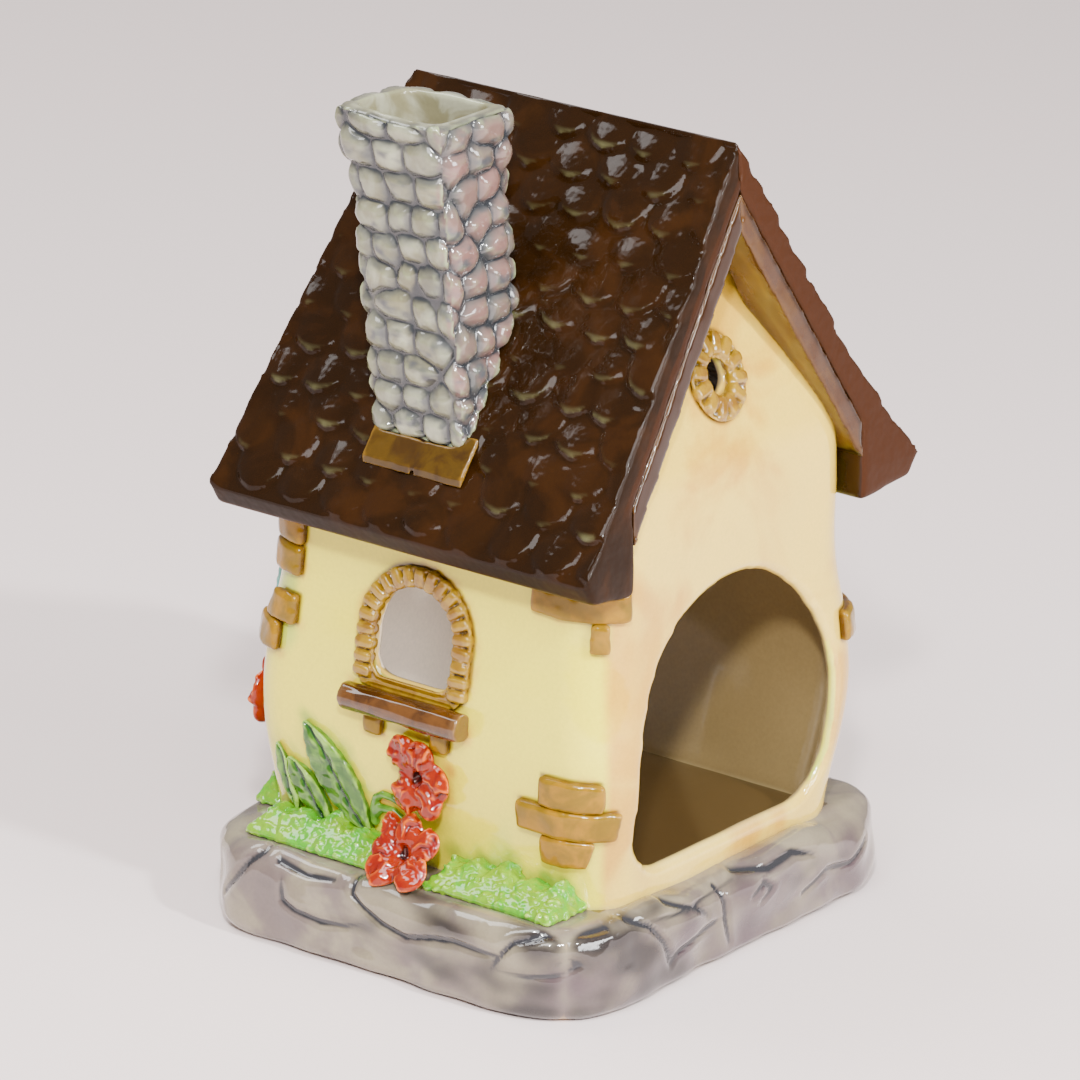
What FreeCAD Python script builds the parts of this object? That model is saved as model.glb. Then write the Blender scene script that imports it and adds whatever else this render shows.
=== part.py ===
import FreeCAD, Part
import math
import os
import Sketcher

# A glazed ceramic cottage birdhouse: hollow walls luted on a stone plinth, two roof slopes, a flue and
# applied ornaments.  Millimetres, +Z up, the origin under the middle of the plinth, the ridge along Y.
# -Y is the gable with the big arched opening, -X the wall below the chimney, +Y the gable with the door.

NOUGHT = "0 * wall"  # zero, as a length

SIZES = (
    # plinth
    ("base_half_x", 71.2, "half size of the plinth across the ridge"),
    ("base_half_y", 60.2, "half size of the plinth along the ridge"),
    ("base_height", 23.0, "top of the plinth, on which the walls stand"),
    ("base_corner", 25.0, "plan radius of the plinth's corners"),
    ("base_top_round", 6.0, "rounding of the plinth's upper edge"),
    ("base_foot_round", 4.0, "rounding of the plinth's lower edge"),
    ("base_side", 7.0, "thickness of the plinth's side"),
    ("base_top", 4.2, "thickness of the plinth's top, which is the floor inside"),
    # walls, as sections from the foot to the peak
    ("wall", 4.0, "thickness of the cast wall"),
    ("wall_corner", 14.0, "plan radius of the walls' corners"),
    ("x_foot", 50.8, "half width of the walls at the plinth"),
    ("y_foot", 52.5, "half length of the walls at the plinth"),
    ("z_skirt", 40.0, "height of the second section"),
    ("x_skirt", 53.8, "half width there"),
    ("y_skirt", 54.0, "half length there"),
    ("z_belly", 64.0, "height of the widest section"),
    ("x_belly", 55.2, "half width there"),
    ("y_belly", 55.1, "half length there"),
    ("z_shoulder", 88.0, "height of the fourth section"),
    ("x_shoulder", 52.2, "half width there"),
    ("y_shoulder", 52.0, "half length there"),
    ("z_neck", 104.0, "height where the side walls end under the eaves"),
    ("x_neck", 50.8, "half width there"),
    ("y_neck", 52.0, "half length there"),
    ("z_vent", 145.0, "height of the small round vent in the gable"),
    ("y_vent", 45.5, "half length of the walls there"),
    ("z_peak", 197.0, "top of the gable section, inside the roof"),
    ("y_peak", 44.0, "half length of the walls there"),
    ("gable_bulge", 0.9, "how far the walls belly out toward the open gable"),
    # roof
    ("ridge", 202.5, "height of the ridge"),
    ("ridge_half", 48.7, "half length of the ridge"),
    ("eave_half", 57.0, "half length of the eaves"),
    ("slab_upright", 12.0, "thickness of the roof measured upright"),
    ("bend_z", 140.5, "height where the roof's slope changes"),
    ("bend_near", 44.5, "distance of that line from the ridge, chimney side"),
    ("bend_far", 44.0, "the same on the other side"),
    ("eave_z", 111.0, "height of the eaves' upper edge"),
    ("eave_near", 66.0, "reach of the eave on the chimney side"),
    ("eave_far", 71.0, "reach of the eave on the other side"),
    ("eave_drop", 5.5, "height of the eaves' outer face"),
    ("eave_inset", 3.5, "how far the eaves' outer face leans in"),
    ("verge_board", 9.4, "upright depth of the verge boards under the roof"),
    # chimney
    ("flue_x", 36.4, "chimney foot, distance of its axis from the ridge"),
    ("flue_y", 1.9, "chimney foot, place of its axis along the ridge"),
    ("flue_lean_x", 9.8, "lean of the chimney's top away from the ridge"),
    ("flue_lean_y", 8.0, "lean of the chimney's top along the ridge"),
    ("shaft_half_x", 13.4, "half width of the chimney shaft across the ridge"),
    ("shaft_half_y", 14.8, "half width of the chimney shaft along the ridge"),
    ("rim_half_x", 14.8, "half width of the chimney's rim across the ridge"),
    ("rim_half_y", 16.8, "half width of the chimney's rim along the ridge"),
    ("shaft_corner", 4.5, "radius of the chimney's corners"),
    ("shaft_neck_z", 191.0, "height where the chimney starts to flare"),
    ("rim_foot_z", 203.0, "height where the chimney's rim starts"),
    ("rim_z", 210.5, "height of the chimney's rim"),
    ("flue_wall", 4.2, "thickness of the chimney's wall"),
    ("flue_foot_z", 98.0, "where the flue's hollow starts, under the roof"),
    ("tile_width", 14.5, "width of an apron tile"),
    ("tile_gap", 1.0, "joint between the apron tiles"),
    ("tile_y", 2.0, "place of the tiles along the ridge"),
    ("tile_top_x", 50.6, "distance of the tiles' upper edge from the ridge"),
    ("tile_foot_x", 57.2, "distance of the tiles' lower edge from the ridge"),
    ("tile_proud", 2.2, "how far an apron tile stands above the roof"),
    # openings
    ("doorway_half", 39.8, "half width of the arched opening for the candle"),
    ("doorway_sill", 30.0, "lower edge of that opening"),
    ("doorway_crown", 95.7, "top of that opening"),
    ("doorway_corner", 13.0, "radius of its lower corners"),
    ("window_half", 11.7, "half width of the side windows"),
    ("window_y", 2.2, "place of the side windows along the ridge"),
    ("window_sill", 70.0, "lower edge of the windows"),
    ("window_crown", 93.5, "top of the windows"),
    ("window_corner", 4.0, "radius of the windows' lower corners"),
    ("front_window_x", 22.0, "place of the door gable's window"),
    ("front_window_half", 9.0, "half width of the door gable's window"),
    ("surround", 5.2, "width of the brick ring round an opening"),
    ("vent_x", -1.6, "place of the gable vent across the ridge"),
    ("vent_radius", 4.2, "radius of the gable vent"),
    ("vent_ring", 10.2, "outer radius of the brick ring round the vent"),
    # applied pieces
    ("relief", 1.8, "how far flat ornaments stand out from the wall"),
    ("bloom", 4.0, "how far flowers stand out from the wall"),
    ("sill_radius", 3.6, "radius of the log that makes a window sill"),
    ("sill_half", 18.0, "half length of the log"),
    ("sill_drop", 1.08, "how far the log's axis lies below the brick ring"),
    ("sill_out", 2.52, "how far the log's axis stands out from the wall"),
    ("corbel_width", 4.5, "width of a corbel under the sill"),
    ("corbel_height", 4.5, "height of a corbel"),
    ("corbel_spread", 10.0, "distance of a corbel from the window's middle"),
    ("stone_height", 6.8, "height of a corner stone"),
    ("stone_gap", 0.8, "joint between corner stones"),
    ("stone_long", 23.5, "reach of a long corner stone from the corner"),
    ("stone_short", 17.0, "reach of a short corner stone from the corner"),
    ("stone_middle", 12.0, "reach of a middling corner stone"),
    ("stone_turn", 7.5, "reach of a stone that just turns the corner"),
    ("stone_tip", 3.5, "reach of a stone that ends on the corner"),
    ("stones_low_z", 35.0, "foot of the low corner stones"),
    ("stones_mid_z", 69.0, "foot of the corner stones at window height"),
    ("stones_high_z", 88.5, "foot of the corner stones under the eaves"),
    ("petal_radius", 4.8, "radius of a petal"),
    ("petal_offset", 4.9, "distance of a petal's middle from the flower's"),
    ("poppy_x", 61.5, "middle of the leaning poppy on the plinth, distance from the ridge"),
    ("poppy_y", -2.7, "its place along the ridge"),
    ("poppy_z", 28.8, "its height"),
    ("poppy_tilt", 36.0, "how far it leans back against the wall"),
    ("poppy_depth", 13.0, "how deep it is bedded on the plinth and the wall"),
    ("blade_height", 8.5, "height of the grass at the wall's foot"),
    ("grass_depth", 13.2, "how far the grass spreads from the wall's foot"),
    ("gable_grass_depth", 4.62, "the same for the grass of the door gable"),
    ("grass_edge", 1.6, "height of the grass at its outer edge"),
    ("grass_top", 1.25, "share of the blade height that the grass reaches on the wall"),
    ("door_x", 20.0, "place of the door"),
    ("door_half", 13.0, "half width of the door"),
    ("door_crown", 80.0, "top of the door"),
    ("door_ring", 5.0, "width of the stone surround of the door"),
    ("door_corner", 0.6, "radius of the door's lower corners"),
    ("door_ring_corner", 1.0, "radius of the surround's lower corners"),
    ("step_height", 2.6, "height of the doorstep"),
    ("step_reach", 56.5, "distance of the doorstep's front from the middle"),
    ("knob_radius", 1.8, "radius of the door knob"),
    ("knob_in", 5.4, "distance of the knob's middle from the edge of the door"),
    ("knob_out", 1.08, "how far the knob's middle stands out from the door"),
    ("knob_up", 8.0, "height of the knob's middle above the wall's skirt line"),
    ("shutter", 7.6, "width of a shutter"),
    ("shutter_drop", 2.0, "how far a shutter ends below the window's top"),
    ("beyond", 90.0, "length that takes a cutting shape through a wall"),
)

# ornaments: name, then sizes that join the sheet as name_foot_along, name_foot_up and so on;
# "along" runs along the wall and "up" from the plinth's top
BLADE_PARTS = ("foot_along", "foot_up", "tip_along", "tip_up", "bow")
BLADES = (
    ("large_leaf", 14.5, 4.0, 33.5, 30.5, 26.0),
    ("middle_leaf", 27.0, 3.0, 39.0, 19.5, 15.0),
    ("small_leaf", 37.0, 5.0, 42.5, 22.5, 18.0),
    ("upper_stem", 14.0, 10.0, 5.0, 17.5, 9.0),
    ("lower_stem", 13.0, 8.5, 3.0, 12.5, 9.0),
    ("door_gable_leaf", -14.0, 4.0, -8.0, 24.0, 16.0),
)
POPPY_PARTS = ("along", "up")
POPPIES = (
    ("upper_poppy", -2.0, 24.4),
    ("door_gable_upper_poppy", -37.0, 28.6),
    ("door_gable_lower_poppy", -26.0, 12.5),
)
GRASS_PARTS = ("from", "to")
GRASS = (
    ("grass_far_clump", 2.0, 46.0),
    ("grass_near_clump", -48.0, -7.0),
    ("door_gable_grass", -46.0, -2.0),
)
for table, parts in ((BLADES, BLADE_PARTS), (POPPIES, POPPY_PARTS), (GRASS, GRASS_PARTS)):
    SIZES += tuple((f"{row[0]}_{part}", number, f"{part} of {row[0]}")
                   for row in table for part, number in zip(parts, row[1:]))

TUFTS = ((0.1, 1.0), (0.2, 0.6), (0.3, 0.8), (0.4, 0.6), (0.5, 1.15), (0.6, 0.6), (0.7, 0.9), (0.8, 0.6), (0.9, 0.75))

WALL_SECTIONS = (
    ("base_height", "x_foot", "y_foot", "0 - gable_bulge"),
    ("z_skirt", "x_skirt", "y_skirt", "0 - gable_bulge"),
    ("z_belly", "x_belly", "y_belly", "0 - gable_bulge"),
    ("z_shoulder", "x_shoulder", "y_shoulder", "0 - gable_bulge"),
    ("z_neck", "x_neck", "y_neck", "0 - gable_bulge"),
    ("z_vent", "x_neck", "y_vent", NOUGHT),
    ("z_peak", "x_neck", "y_peak", NOUGHT),
)

ORIGIN = (-1, 1)
doc = FreeCAD.newDocument("cottage")
nodes = []


def add_sheet():
    """The spreadsheet with one row for each driving size."""
    sheet = doc.addObject("Spreadsheet::Sheet", "sizes")
    for row, (alias, value, meaning) in enumerate(SIZES, start=1):
        sheet.set(f"A{row}", alias)
        sheet.set(f"B{row}", str(value))
        sheet.setAlias(f"B{row}", alias)
        sheet.set(f"C{row}", meaning)
    doc.recompute()


def sized(text):
    """An expression with every size name led back to the sheet."""
    words = text.replace("(", "( ").replace(")", " )").split()
    names = [alias for alias, value, meaning in SIZES]
    return " ".join("sizes." + word if word in names else word for word in words)


def value(text):
    """The number that an expression gives now, used to draw a sketch where it will be held."""
    return float(doc.getObject("sizes").evalExpression(sized(text)))


def bind(thing, **properties):
    """Ties properties to expressions; an underscore pair stands for a dot."""
    for name, text in properties.items():
        thing.setExpression(name.replace("__", "."), sized(text))
    return thing


# ---------------------------------------------------------------- sketches and bodies

def new_body(name):
    return doc.addObject("PartDesign::Body", name)


def new_sketch(body, name, role, offset=None):
    """A sketch on one of the body's own planes, lifted off it by the expression offset."""
    plane = next(item for item in body.Origin.OriginFeatures if item.Role == role)
    sketch = body.newObject("Sketcher::SketchObject", name)
    sketch.AttachmentSupport = (plane, [""])
    sketch.MapMode = "FlatFace"
    if offset:
        bind(sketch, AttachmentOffset__Base__z=offset)
    return sketch


def hold(sketch, kind, *where, to=None):
    """Adds one constraint; with to, a size that starts as drawn and is tied to that expression."""
    if to is None:
        sketch.addConstraint(Sketcher.Constraint(kind, *where))
        return
    if kind == "Radius":
        drawn = sketch.Geometry[where[0]].Radius
    else:
        point = sketch.getPoint(*where[-2:])
        drawn = point.x if kind == "DistanceX" else point.y
    index = sketch.addConstraint(Sketcher.Constraint(kind, *where, drawn))
    sketch.setExpression(f"Constraints[{index}]", sized(to))


def vector(x, y):
    return FreeCAD.Vector(x, y, 0)


def line(sketch, start, end):
    return sketch.addGeometry(Part.LineSegment(vector(*start), vector(*end)))


def arc(sketch, centre, radius, first, last):
    """A counter-clockwise arc between two angles in quarter turns."""
    circle = Part.Circle(vector(*centre), FreeCAD.Vector(0, 0, 1), radius)
    return sketch.addGeometry(Part.ArcOfCircle(circle, first * math.pi / 2, last * math.pi / 2))


def polygon(body, name, role, corners):
    """A closed sketch of straight sides, with each corner held at a pair of expressions."""
    sketch = new_sketch(body, name, role)
    drawn = [(value(across), value(up)) for across, up in corners]
    for number, start in enumerate(drawn):
        line(sketch, start, drawn[(number + 1) % len(drawn)])
    for number, (across, up) in enumerate(corners):
        hold(sketch, "Coincident", number, 2, (number + 1) % len(corners), 1)
        hold(sketch, "DistanceX", *ORIGIN, number, 1, to=across)
        hold(sketch, "DistanceY", *ORIGIN, number, 1, to=up)
    return sketch


def rounded(body, name, height, half_x, half_y, corner, centre=("0", "0")):
    """A rounded rectangle on the level height, round a centre."""
    sketch = new_sketch(body, name, "XY_Plane", height)
    east, west = f"{centre[0]} + {half_x}", f"{centre[0]} - ( {half_x} )"
    north, south = f"{centre[1]} + {half_y}", f"{centre[1]} - ( {half_y} )"
    right, left, top, bottom, r = (value(text) for text in (east, west, north, south, corner))
    line(sketch, (left + r, bottom), (right - r, bottom))
    line(sketch, (right, bottom + r), (right, top - r))
    line(sketch, (right - r, top), (left + r, top))
    line(sketch, (left, top - r), (left, bottom + r))
    arc(sketch, (right - r, bottom + r), r, 3, 4)
    arc(sketch, (right - r, top - r), r, 0, 1)
    arc(sketch, (left + r, top - r), r, 1, 2)
    arc(sketch, (left + r, bottom + r), r, 2, 3)
    for side in range(4):
        hold(sketch, "Tangent", side, 2, 4 + side, 1)
        hold(sketch, "Tangent", 4 + side, 2, (side + 1) % 4, 1)
        hold(sketch, ("Horizontal", "Vertical")[side % 2], side)
        if side:
            hold(sketch, "Equal", 4, 4 + side)
    hold(sketch, "Radius", 4, to=corner)
    hold(sketch, "DistanceX", *ORIGIN, 1, 1, to=east)
    hold(sketch, "DistanceX", *ORIGIN, 3, 1, to=west)
    hold(sketch, "DistanceY", *ORIGIN, 0, 1, to=south)
    hold(sketch, "DistanceY", *ORIGIN, 2, 1, to=north)
    return sketch


def arched(body, name, role, middle, half, sill, crown, corner):
    """A round arch over straight sides, with its lower corners rounded."""
    sketch = new_sketch(body, name, role)
    spring = f"{crown} - ( {half} )"
    x, w, low, high, r = (value(text) for text in (middle, half, sill, spring, corner))
    line(sketch, (x + r - w, low), (x + w - r, low))
    arc(sketch, (x + w - r, low + r), r, 3, 4)
    line(sketch, (x + w, low + r), (x + w, high))
    arc(sketch, (x, high), w, 0, 2)
    line(sketch, (x - w, high), (x - w, low + r))
    arc(sketch, (x + r - w, low + r), r, 2, 3)
    for number in range(6):
        hold(sketch, "Tangent", number, 2, (number + 1) % 6, 1)
    hold(sketch, "Horizontal", 0)
    hold(sketch, "Vertical", 2)
    hold(sketch, "Equal", 1, 5)
    hold(sketch, "Radius", 1, to=corner)
    hold(sketch, "Radius", 3, to=half)
    hold(sketch, "DistanceX", *ORIGIN, 3, 3, to=middle)
    hold(sketch, "DistanceY", *ORIGIN, 3, 3, to=spring)
    hold(sketch, "DistanceY", *ORIGIN, 0, 1, to=sill)
    return sketch


def leaf_outline(body, name, role, foot, tip, bow):
    """A lens between a foot and a tip, of two arcs of the radius bow."""
    sketch = new_sketch(body, name, role)
    start = vector(value(foot[0]), value(foot[1]))
    end = vector(value(tip[0]), value(tip[1]))
    along = end - start
    across = vector(along.y, -along.x).normalize()
    radius = value(bow)
    depth = radius - math.sqrt(radius * radius - along.Length * along.Length / 4)
    middle = (start + end) / 2
    sketch.addGeometry(Part.Arc(start, middle + across * depth, end))
    sketch.addGeometry(Part.Arc(end, middle - across * depth, start))
    hold(sketch, "Coincident", 0, 1, 1, 2)
    hold(sketch, "Coincident", 0, 2, 1, 1)
    hold(sketch, "Equal", 0, 1)
    hold(sketch, "Radius", 0, to=bow)
    hold(sketch, "DistanceX", *ORIGIN, 0, 1, to=foot[0])
    hold(sketch, "DistanceY", *ORIGIN, 0, 1, to=foot[1])
    hold(sketch, "DistanceX", *ORIGIN, 0, 2, to=tip[0])
    hold(sketch, "DistanceY", *ORIGIN, 0, 2, to=tip[1])
    return sketch


def pad(body, sketch, length, backwards=False, both=False):
    feature = body.newObject("PartDesign::Pad", sketch.Name + "_pad")
    feature.Profile = sketch
    feature.Reversed = backwards
    feature.Midplane = both
    bind(feature, Length=length)
    return feature


def loft(body, sketches):
    feature = body.newObject("PartDesign::AdditiveLoft", body.Name + "_loft")
    feature.Profile = sketches[0]
    feature.Sections = sketches[1:]
    return feature


def prism(name, role, outline, backwards, *shape):
    """A body cut from one outline on a plane, from the middle of the house out through one wall."""
    body = new_body(name)
    pad(body, outline(body, name + "_outline", role, *shape), "beyond", backwards)
    return body


# the walls, each with its plane and whether its outside lies against that plane's normal
CHIMNEY_WALL = ("YZ_Plane", True)
PLAIN_WALL = ("YZ_Plane", False)
OPEN_GABLE = ("XZ_Plane", False)
DOOR_GABLE = ("XZ_Plane", True)


def arch_through(name, wall, middle, half, sill, crown, corner):
    return prism(name, wall[0], arched, wall[1], middle, half, sill, crown, corner)


# ---------------------------------------------------------------- joins and cuts

def common(name, first, second):
    result = doc.addObject("Part::Common", name)
    result.Base = first
    result.Tool = second
    return result


def cut(name, first, *tools):
    """Cuts first with each tool in turn; with no tool it stays as it is."""
    result = first
    for number, tool in enumerate(tools, start=1):
        step = doc.addObject("Part::Cut", name if number == len(tools) else f"{name}_{number}")
        step.Base = result
        step.Tool = tool
        result = step
    return result


def fuse(name, pieces):
    result = doc.addObject("Part::MultiFuse", name)
    result.Shapes = pieces
    return result


def box(name, low, high):
    """A box between two corners given as expressions."""
    result = doc.addObject("Part::Box", name)
    bind(result, Placement__Base__x=low[0], Placement__Base__y=low[1], Placement__Base__z=low[2],
         Length=f"{high[0]} - ( {low[0]} )", Width=f"{high[1]} - ( {low[1]} )",
         Height=f"{high[2]} - ( {low[2]} )")
    return result


def keep(thing, label):
    """Marks a finished sub-part and names its file."""
    thing.Label = label
    nodes.append(thing)
    return thing


# ---------------------------------------------------------------- the plinth

def make_plinth():
    body = new_body("base_plinth")
    block = pad(body, rounded(body, "plinth_plan", NOUGHT, "base_half_x", "base_half_y", "base_corner"),
                "base_height")
    doc.recompute()
    for name, height, radius in (("top_round", block.Length.Value, "base_top_round"),
                                 ("foot_round", 0.0, "base_foot_round")):
        edges = [f"Edge{number}" for number, edge in enumerate(body.Tip.Shape.Edges, start=1)
                 if abs(edge.BoundBox.ZMin - height) < 0.01 and abs(edge.BoundBox.ZMax - height) < 0.01]
        base = body.Tip
        rounding = body.newObject("PartDesign::Fillet", name)
        rounding.Base = (base, edges)
        bind(rounding, Radius=radius)
        doc.recompute()
    hollow = body.newObject("PartDesign::Pocket", "underside_hollow")
    hollow.Profile = rounded(body, "hollow_plan", NOUGHT, "base_half_x - base_side",
                             "base_half_y - base_side", "base_corner - base_side")
    hollow.Reversed = True
    bind(hollow, Length="base_height - base_top")
    return keep(body, "base_plinth")


# ---------------------------------------------------------------- the walls

def house_form(name, grow):
    """The closed form of the walls, with every section wider by the expression grow."""
    body = new_body(name)
    sections = [rounded(body, f"{name}_{height}", height, f"{half_x} + {grow}", f"{half_y} + {grow}",
                        f"wall_corner + {grow}", (NOUGHT, middle))
                for height, half_x, half_y, middle in WALL_SECTIONS]
    loft(body, sections)
    return body


def make_walls(outside, roof_mass, slopes, openings):
    inside = house_form("inside_form", "( 0 - wall )")
    shell = cut("wall_shell", outside, inside)
    trimmed = cut("walls_under_roof", common("walls_below_slopes", shell, roof_mass), *slopes)
    quarters = (
        ("open_gable_wall", ("0 - beyond", "0 - beyond"), ("beyond", "0 - beyond")),
        ("door_gable_wall", ("beyond", "beyond"), ("0 - beyond", "beyond")),
        ("chimney_side_wall", ("0 - beyond", "beyond"), ("0 - beyond", "0 - beyond")),
        ("plain_side_wall", ("beyond", "0 - beyond"), ("beyond", "beyond")),
    )
    walls = {}
    for name, first, last in quarters:
        quarter = new_body(name + "_quarter")
        plan = polygon(quarter, name + "_plan", "XY_Plane", ((NOUGHT, NOUGHT), first, last))
        pad(quarter, plan, "ridge + beyond")
        whole = common(name + "_whole", trimmed, quarter)
        walls[name] = keep(cut(name, whole, *openings[name]), name)
    return walls


# ---------------------------------------------------------------- the roof

def underside(sign, reach, lower="0"):
    """A point of the roof's underside, or of a line that much lower, at a distance from the ridge."""
    bend = "bend_near" if sign == "-1" else "bend_far"
    height = f"ridge - slab_upright - {lower} - ( ridge - bend_z ) / {bend} * ( {reach} )"
    return (f"{sign} * ( {reach} )", height)


def slope_profile(sign, bend, eave):
    """Half of the roof seen from the gable: outer face, eave, soffit, and the underside."""
    return (
        (NOUGHT, "ridge"),
        (f"{sign} * {bend}", "bend_z"),
        (f"{sign} * {eave}", "eave_z"),
        (f"{sign} * ( {eave} - eave_inset )", "eave_z - eave_drop"),
        (f"{sign} * x_neck", "z_neck"),
        (f"{sign} * ( x_neck - wall )", "z_neck"),
        underside(sign, "x_neck - wall"),
        underside(sign, NOUGHT),
    )


def trim_verges(body, name):
    """Slopes the ends of the roof, which is shorter at the ridge than at the eaves."""
    for sign, end in (("-1", "front"), ("1", "rear")):
        corners = (
            (f"{sign} * ridge_half", "ridge"),
            (f"{sign} * eave_half", "eave_z"),
            (f"{sign} * ( eave_half + beyond )", "eave_z"),
            (f"{sign} * ( eave_half + beyond )", "ridge + wall"),
            (f"{sign} * ( ridge_half - wall * ( eave_half - ridge_half ) / ( ridge - eave_z ) )", "ridge + wall"),
        )
        cutter = body.newObject("PartDesign::Pocket", f"{name}_{end}_verge")
        cutter.Profile = polygon(body, f"{name}_{end}_verge_line", "YZ_Plane", corners)
        cutter.Type = "ThroughAll"
        cutter.Midplane = True


def make_slope(name, sign, bend, eave, flue=None):
    body = new_body(name + "_slab")
    outline = polygon(body, name + "_profile", "XZ_Plane", slope_profile(sign, bend, eave))
    pad(body, outline, "2 * eave_half", both=True)
    trim_verges(body, name)
    return keep(cut(name, body, flue) if flue else body, name)


def make_roof_mass():
    """Everything under the roof's outer faces, for trimming what stands on or under it."""
    body = new_body("roof_mass")
    corners = (
        (NOUGHT, "ridge"), ("0 - bend_near", "bend_z"), ("0 - eave_near", "eave_z"),
        ("0 - eave_near", NOUGHT), ("eave_far", NOUGHT), ("eave_far", "eave_z"), ("bend_far", "bend_z"),
    )
    pad(body, polygon(body, "roof_mass_profile", "XZ_Plane", corners), "2 * beyond", both=True)
    return body


def make_verge_boards(outside, slopes):
    """A board under each verge, in front of the gable and behind it."""
    for side, sign, slope in (("chimney_side", "-1", slopes[0]), ("plain_side", "1", slopes[1])):
        corners = (
            underside(sign, NOUGHT),
            underside(sign, "x_neck - wall"),
            underside(sign, "x_neck - wall", "verge_board"),
            underside(sign, NOUGHT, "verge_board"),
        )
        body = new_body(f"{side}_board_strip")
        pad(body, polygon(body, f"{side}_board_line", "XZ_Plane", corners), "2 * eave_half", both=True)
        trim_verges(body, f"{side}_board")
        for end, low, high in (("open", "0 - beyond", "0 - y_peak + wall"), ("door", "y_peak - wall", "beyond")):
            name = f"{side}_{end}_verge_board"
            region = box(name + "_region", ("0 - beyond", low, NOUGHT), ("beyond", high, "ridge"))
            keep(cut(name, common(name + "_strip", body, region), outside, slope), name)


# ---------------------------------------------------------------- the chimney

def chimney_form(name, shrink, foot, rise):
    """A leaning shaft with a flared rim, smaller by shrink, from foot to rise above the rim."""
    body = new_body(name)
    sections = []
    for level, height, half_x, half_y in (
            ("foot", foot, "shaft_half_x", "shaft_half_y"),
            ("neck", "shaft_neck_z", "shaft_half_x", "shaft_half_y"),
            ("rim_foot", "rim_foot_z", "rim_half_x", "rim_half_y"),
            ("rim", f"rim_z + {rise}", "rim_half_x", "rim_half_y")):
        share = f"( {height} - flue_foot_z ) / ( rim_z - flue_foot_z )"
        centre = (f"0 - flue_x - {share} * flue_lean_x", f"flue_y + {share} * flue_lean_y")
        sections.append(rounded(body, f"{name}_{level}", height, f"{half_x} - {shrink}",
                                f"{half_y} - {shrink}", f"shaft_corner - 0.3 * {shrink}", centre))
    loft(body, sections).Ruled = True
    return body


def make_apron_tiles(roof_mass, stack):
    """Two flat tiles on the roof just below the chimney's foot."""
    fall = "( bend_z - eave_z ) / ( eave_near - bend_near )"
    corners = []
    for reach, above in (("tile_top_x", "+ tile_proud"), ("tile_foot_x", "+ tile_proud"),
                         ("tile_foot_x", "- wall"), ("tile_top_x", "- wall")):
        corners.append((f"0 - {reach}", f"bend_z - {fall} * ( {reach} - bend_near ) {above}"))
    strip = new_body("tile_strip")
    pad(strip, polygon(strip, "tile_line", "XZ_Plane", corners), "2 * beyond", both=True)
    tiles = []
    for number, side in enumerate(("-1", "1")):
        low = f"tile_y - tile_width / 2 + {side} * ( tile_width + tile_gap ) / 2"
        tiles.append(box(f"tile_{number}", ("0 - beyond", low, NOUGHT),
                         (NOUGHT, f"{low} + tile_width", "ridge")))
    both = common("both_tiles", strip, fuse("tile_pair", tiles))
    return keep(cut("chimney_apron_tiles", both, roof_mass, stack), "chimney_apron_tiles")


# ---------------------------------------------------------------- applied ornaments

def make_windows(skin, outside):
    """The brick ring, log sill and corbels of each window."""
    windows = (
        ("chimney_side", CHIMNEY_WALL, "window_y", "window_half"),
        ("plain_side", PLAIN_WALL, "window_y", "window_half"),
        ("door_gable", DOOR_GABLE, "0 - front_window_x", "front_window_half"),
    )
    holes = {}
    trims = {}
    for side, wall, middle, half in windows:
        hole = arch_through(side + "_window_hole", wall, middle, half, "window_sill", "window_crown",
                            "window_corner")
        ring = arch_through(side + "_window_ring", wall, middle, f"{half} + surround",
                            "window_sill - surround", "window_crown + surround", "window_corner + surround")
        sill = doc.addObject("Part::Cylinder", side + "_sill_log")
        bind(sill, Radius="sill_radius", Height=f"2 * ( sill_half - window_half + {half} )")
        low = f"{middle} - ( sill_half - window_half + {half} )"
        level = "window_sill - surround - sill_drop"
        if wall[0] == "YZ_Plane":
            sill.Placement.Rotation = FreeCAD.Rotation(FreeCAD.Vector(1, 0, 0), -90)
            face = ("0 - x_belly - sill_out", "x_belly + sill_out")[side == "plain_side"]
            bind(sill, Placement__Base__x=face, Placement__Base__y=low, Placement__Base__z=level)
        else:
            sill.Placement.Rotation = FreeCAD.Rotation(FreeCAD.Vector(0, 1, 0), 90)
            bind(sill, Placement__Base__x=low, Placement__Base__y="y_belly - gable_bulge + sill_out",
                 Placement__Base__z=level)
        log = keep(cut(side + "_window_sill", sill, outside), side + "_window_sill")
        bricks = common(side + "_ring_bricks", skin, ring)
        surround = keep(cut(side + "_window_surround", bricks, hole, log), side + "_window_surround")
        holes[side] = hole
        corbels = []
        for number, place in enumerate(("-1", "1")):
            near = f"{middle} + {place} * corbel_spread * {half} / window_half - corbel_width / 2"
            low_z = f"{level} - sill_radius - corbel_height"
            span = (("0 - beyond", near, low_z), (NOUGHT, f"{near} + corbel_width", level))
            if side == "plain_side":
                span = ((NOUGHT, near, low_z), ("beyond", f"{near} + corbel_width", level))
            if side == "door_gable":
                span = ((near, NOUGHT, low_z), (f"{near} + corbel_width", "beyond", level))
            corbels.append(box(f"{side}_corbel_{number}", *span))
        block = common(side + "_corbel_blocks", skin, fuse(side + "_corbel_pair", corbels))
        feet = keep(cut(side + "_sill_corbels", block, log), side + "_sill_corbels")
        trims[side] = [log, surround, feet]
    return holes, trims


def make_vent(skin, hole):
    ring = doc.addObject("Part::Cylinder", "vent_ring_disc")
    ring.Placement.Rotation = FreeCAD.Rotation(FreeCAD.Vector(1, 0, 0), 90)
    bind(ring, Radius="vent_ring", Height="beyond", Placement__Base__x="vent_x", Placement__Base__z="z_vent")
    keep(cut("gable_vent_surround", common("vent_ring_bricks", skin, ring), hole), "gable_vent_surround")


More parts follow.
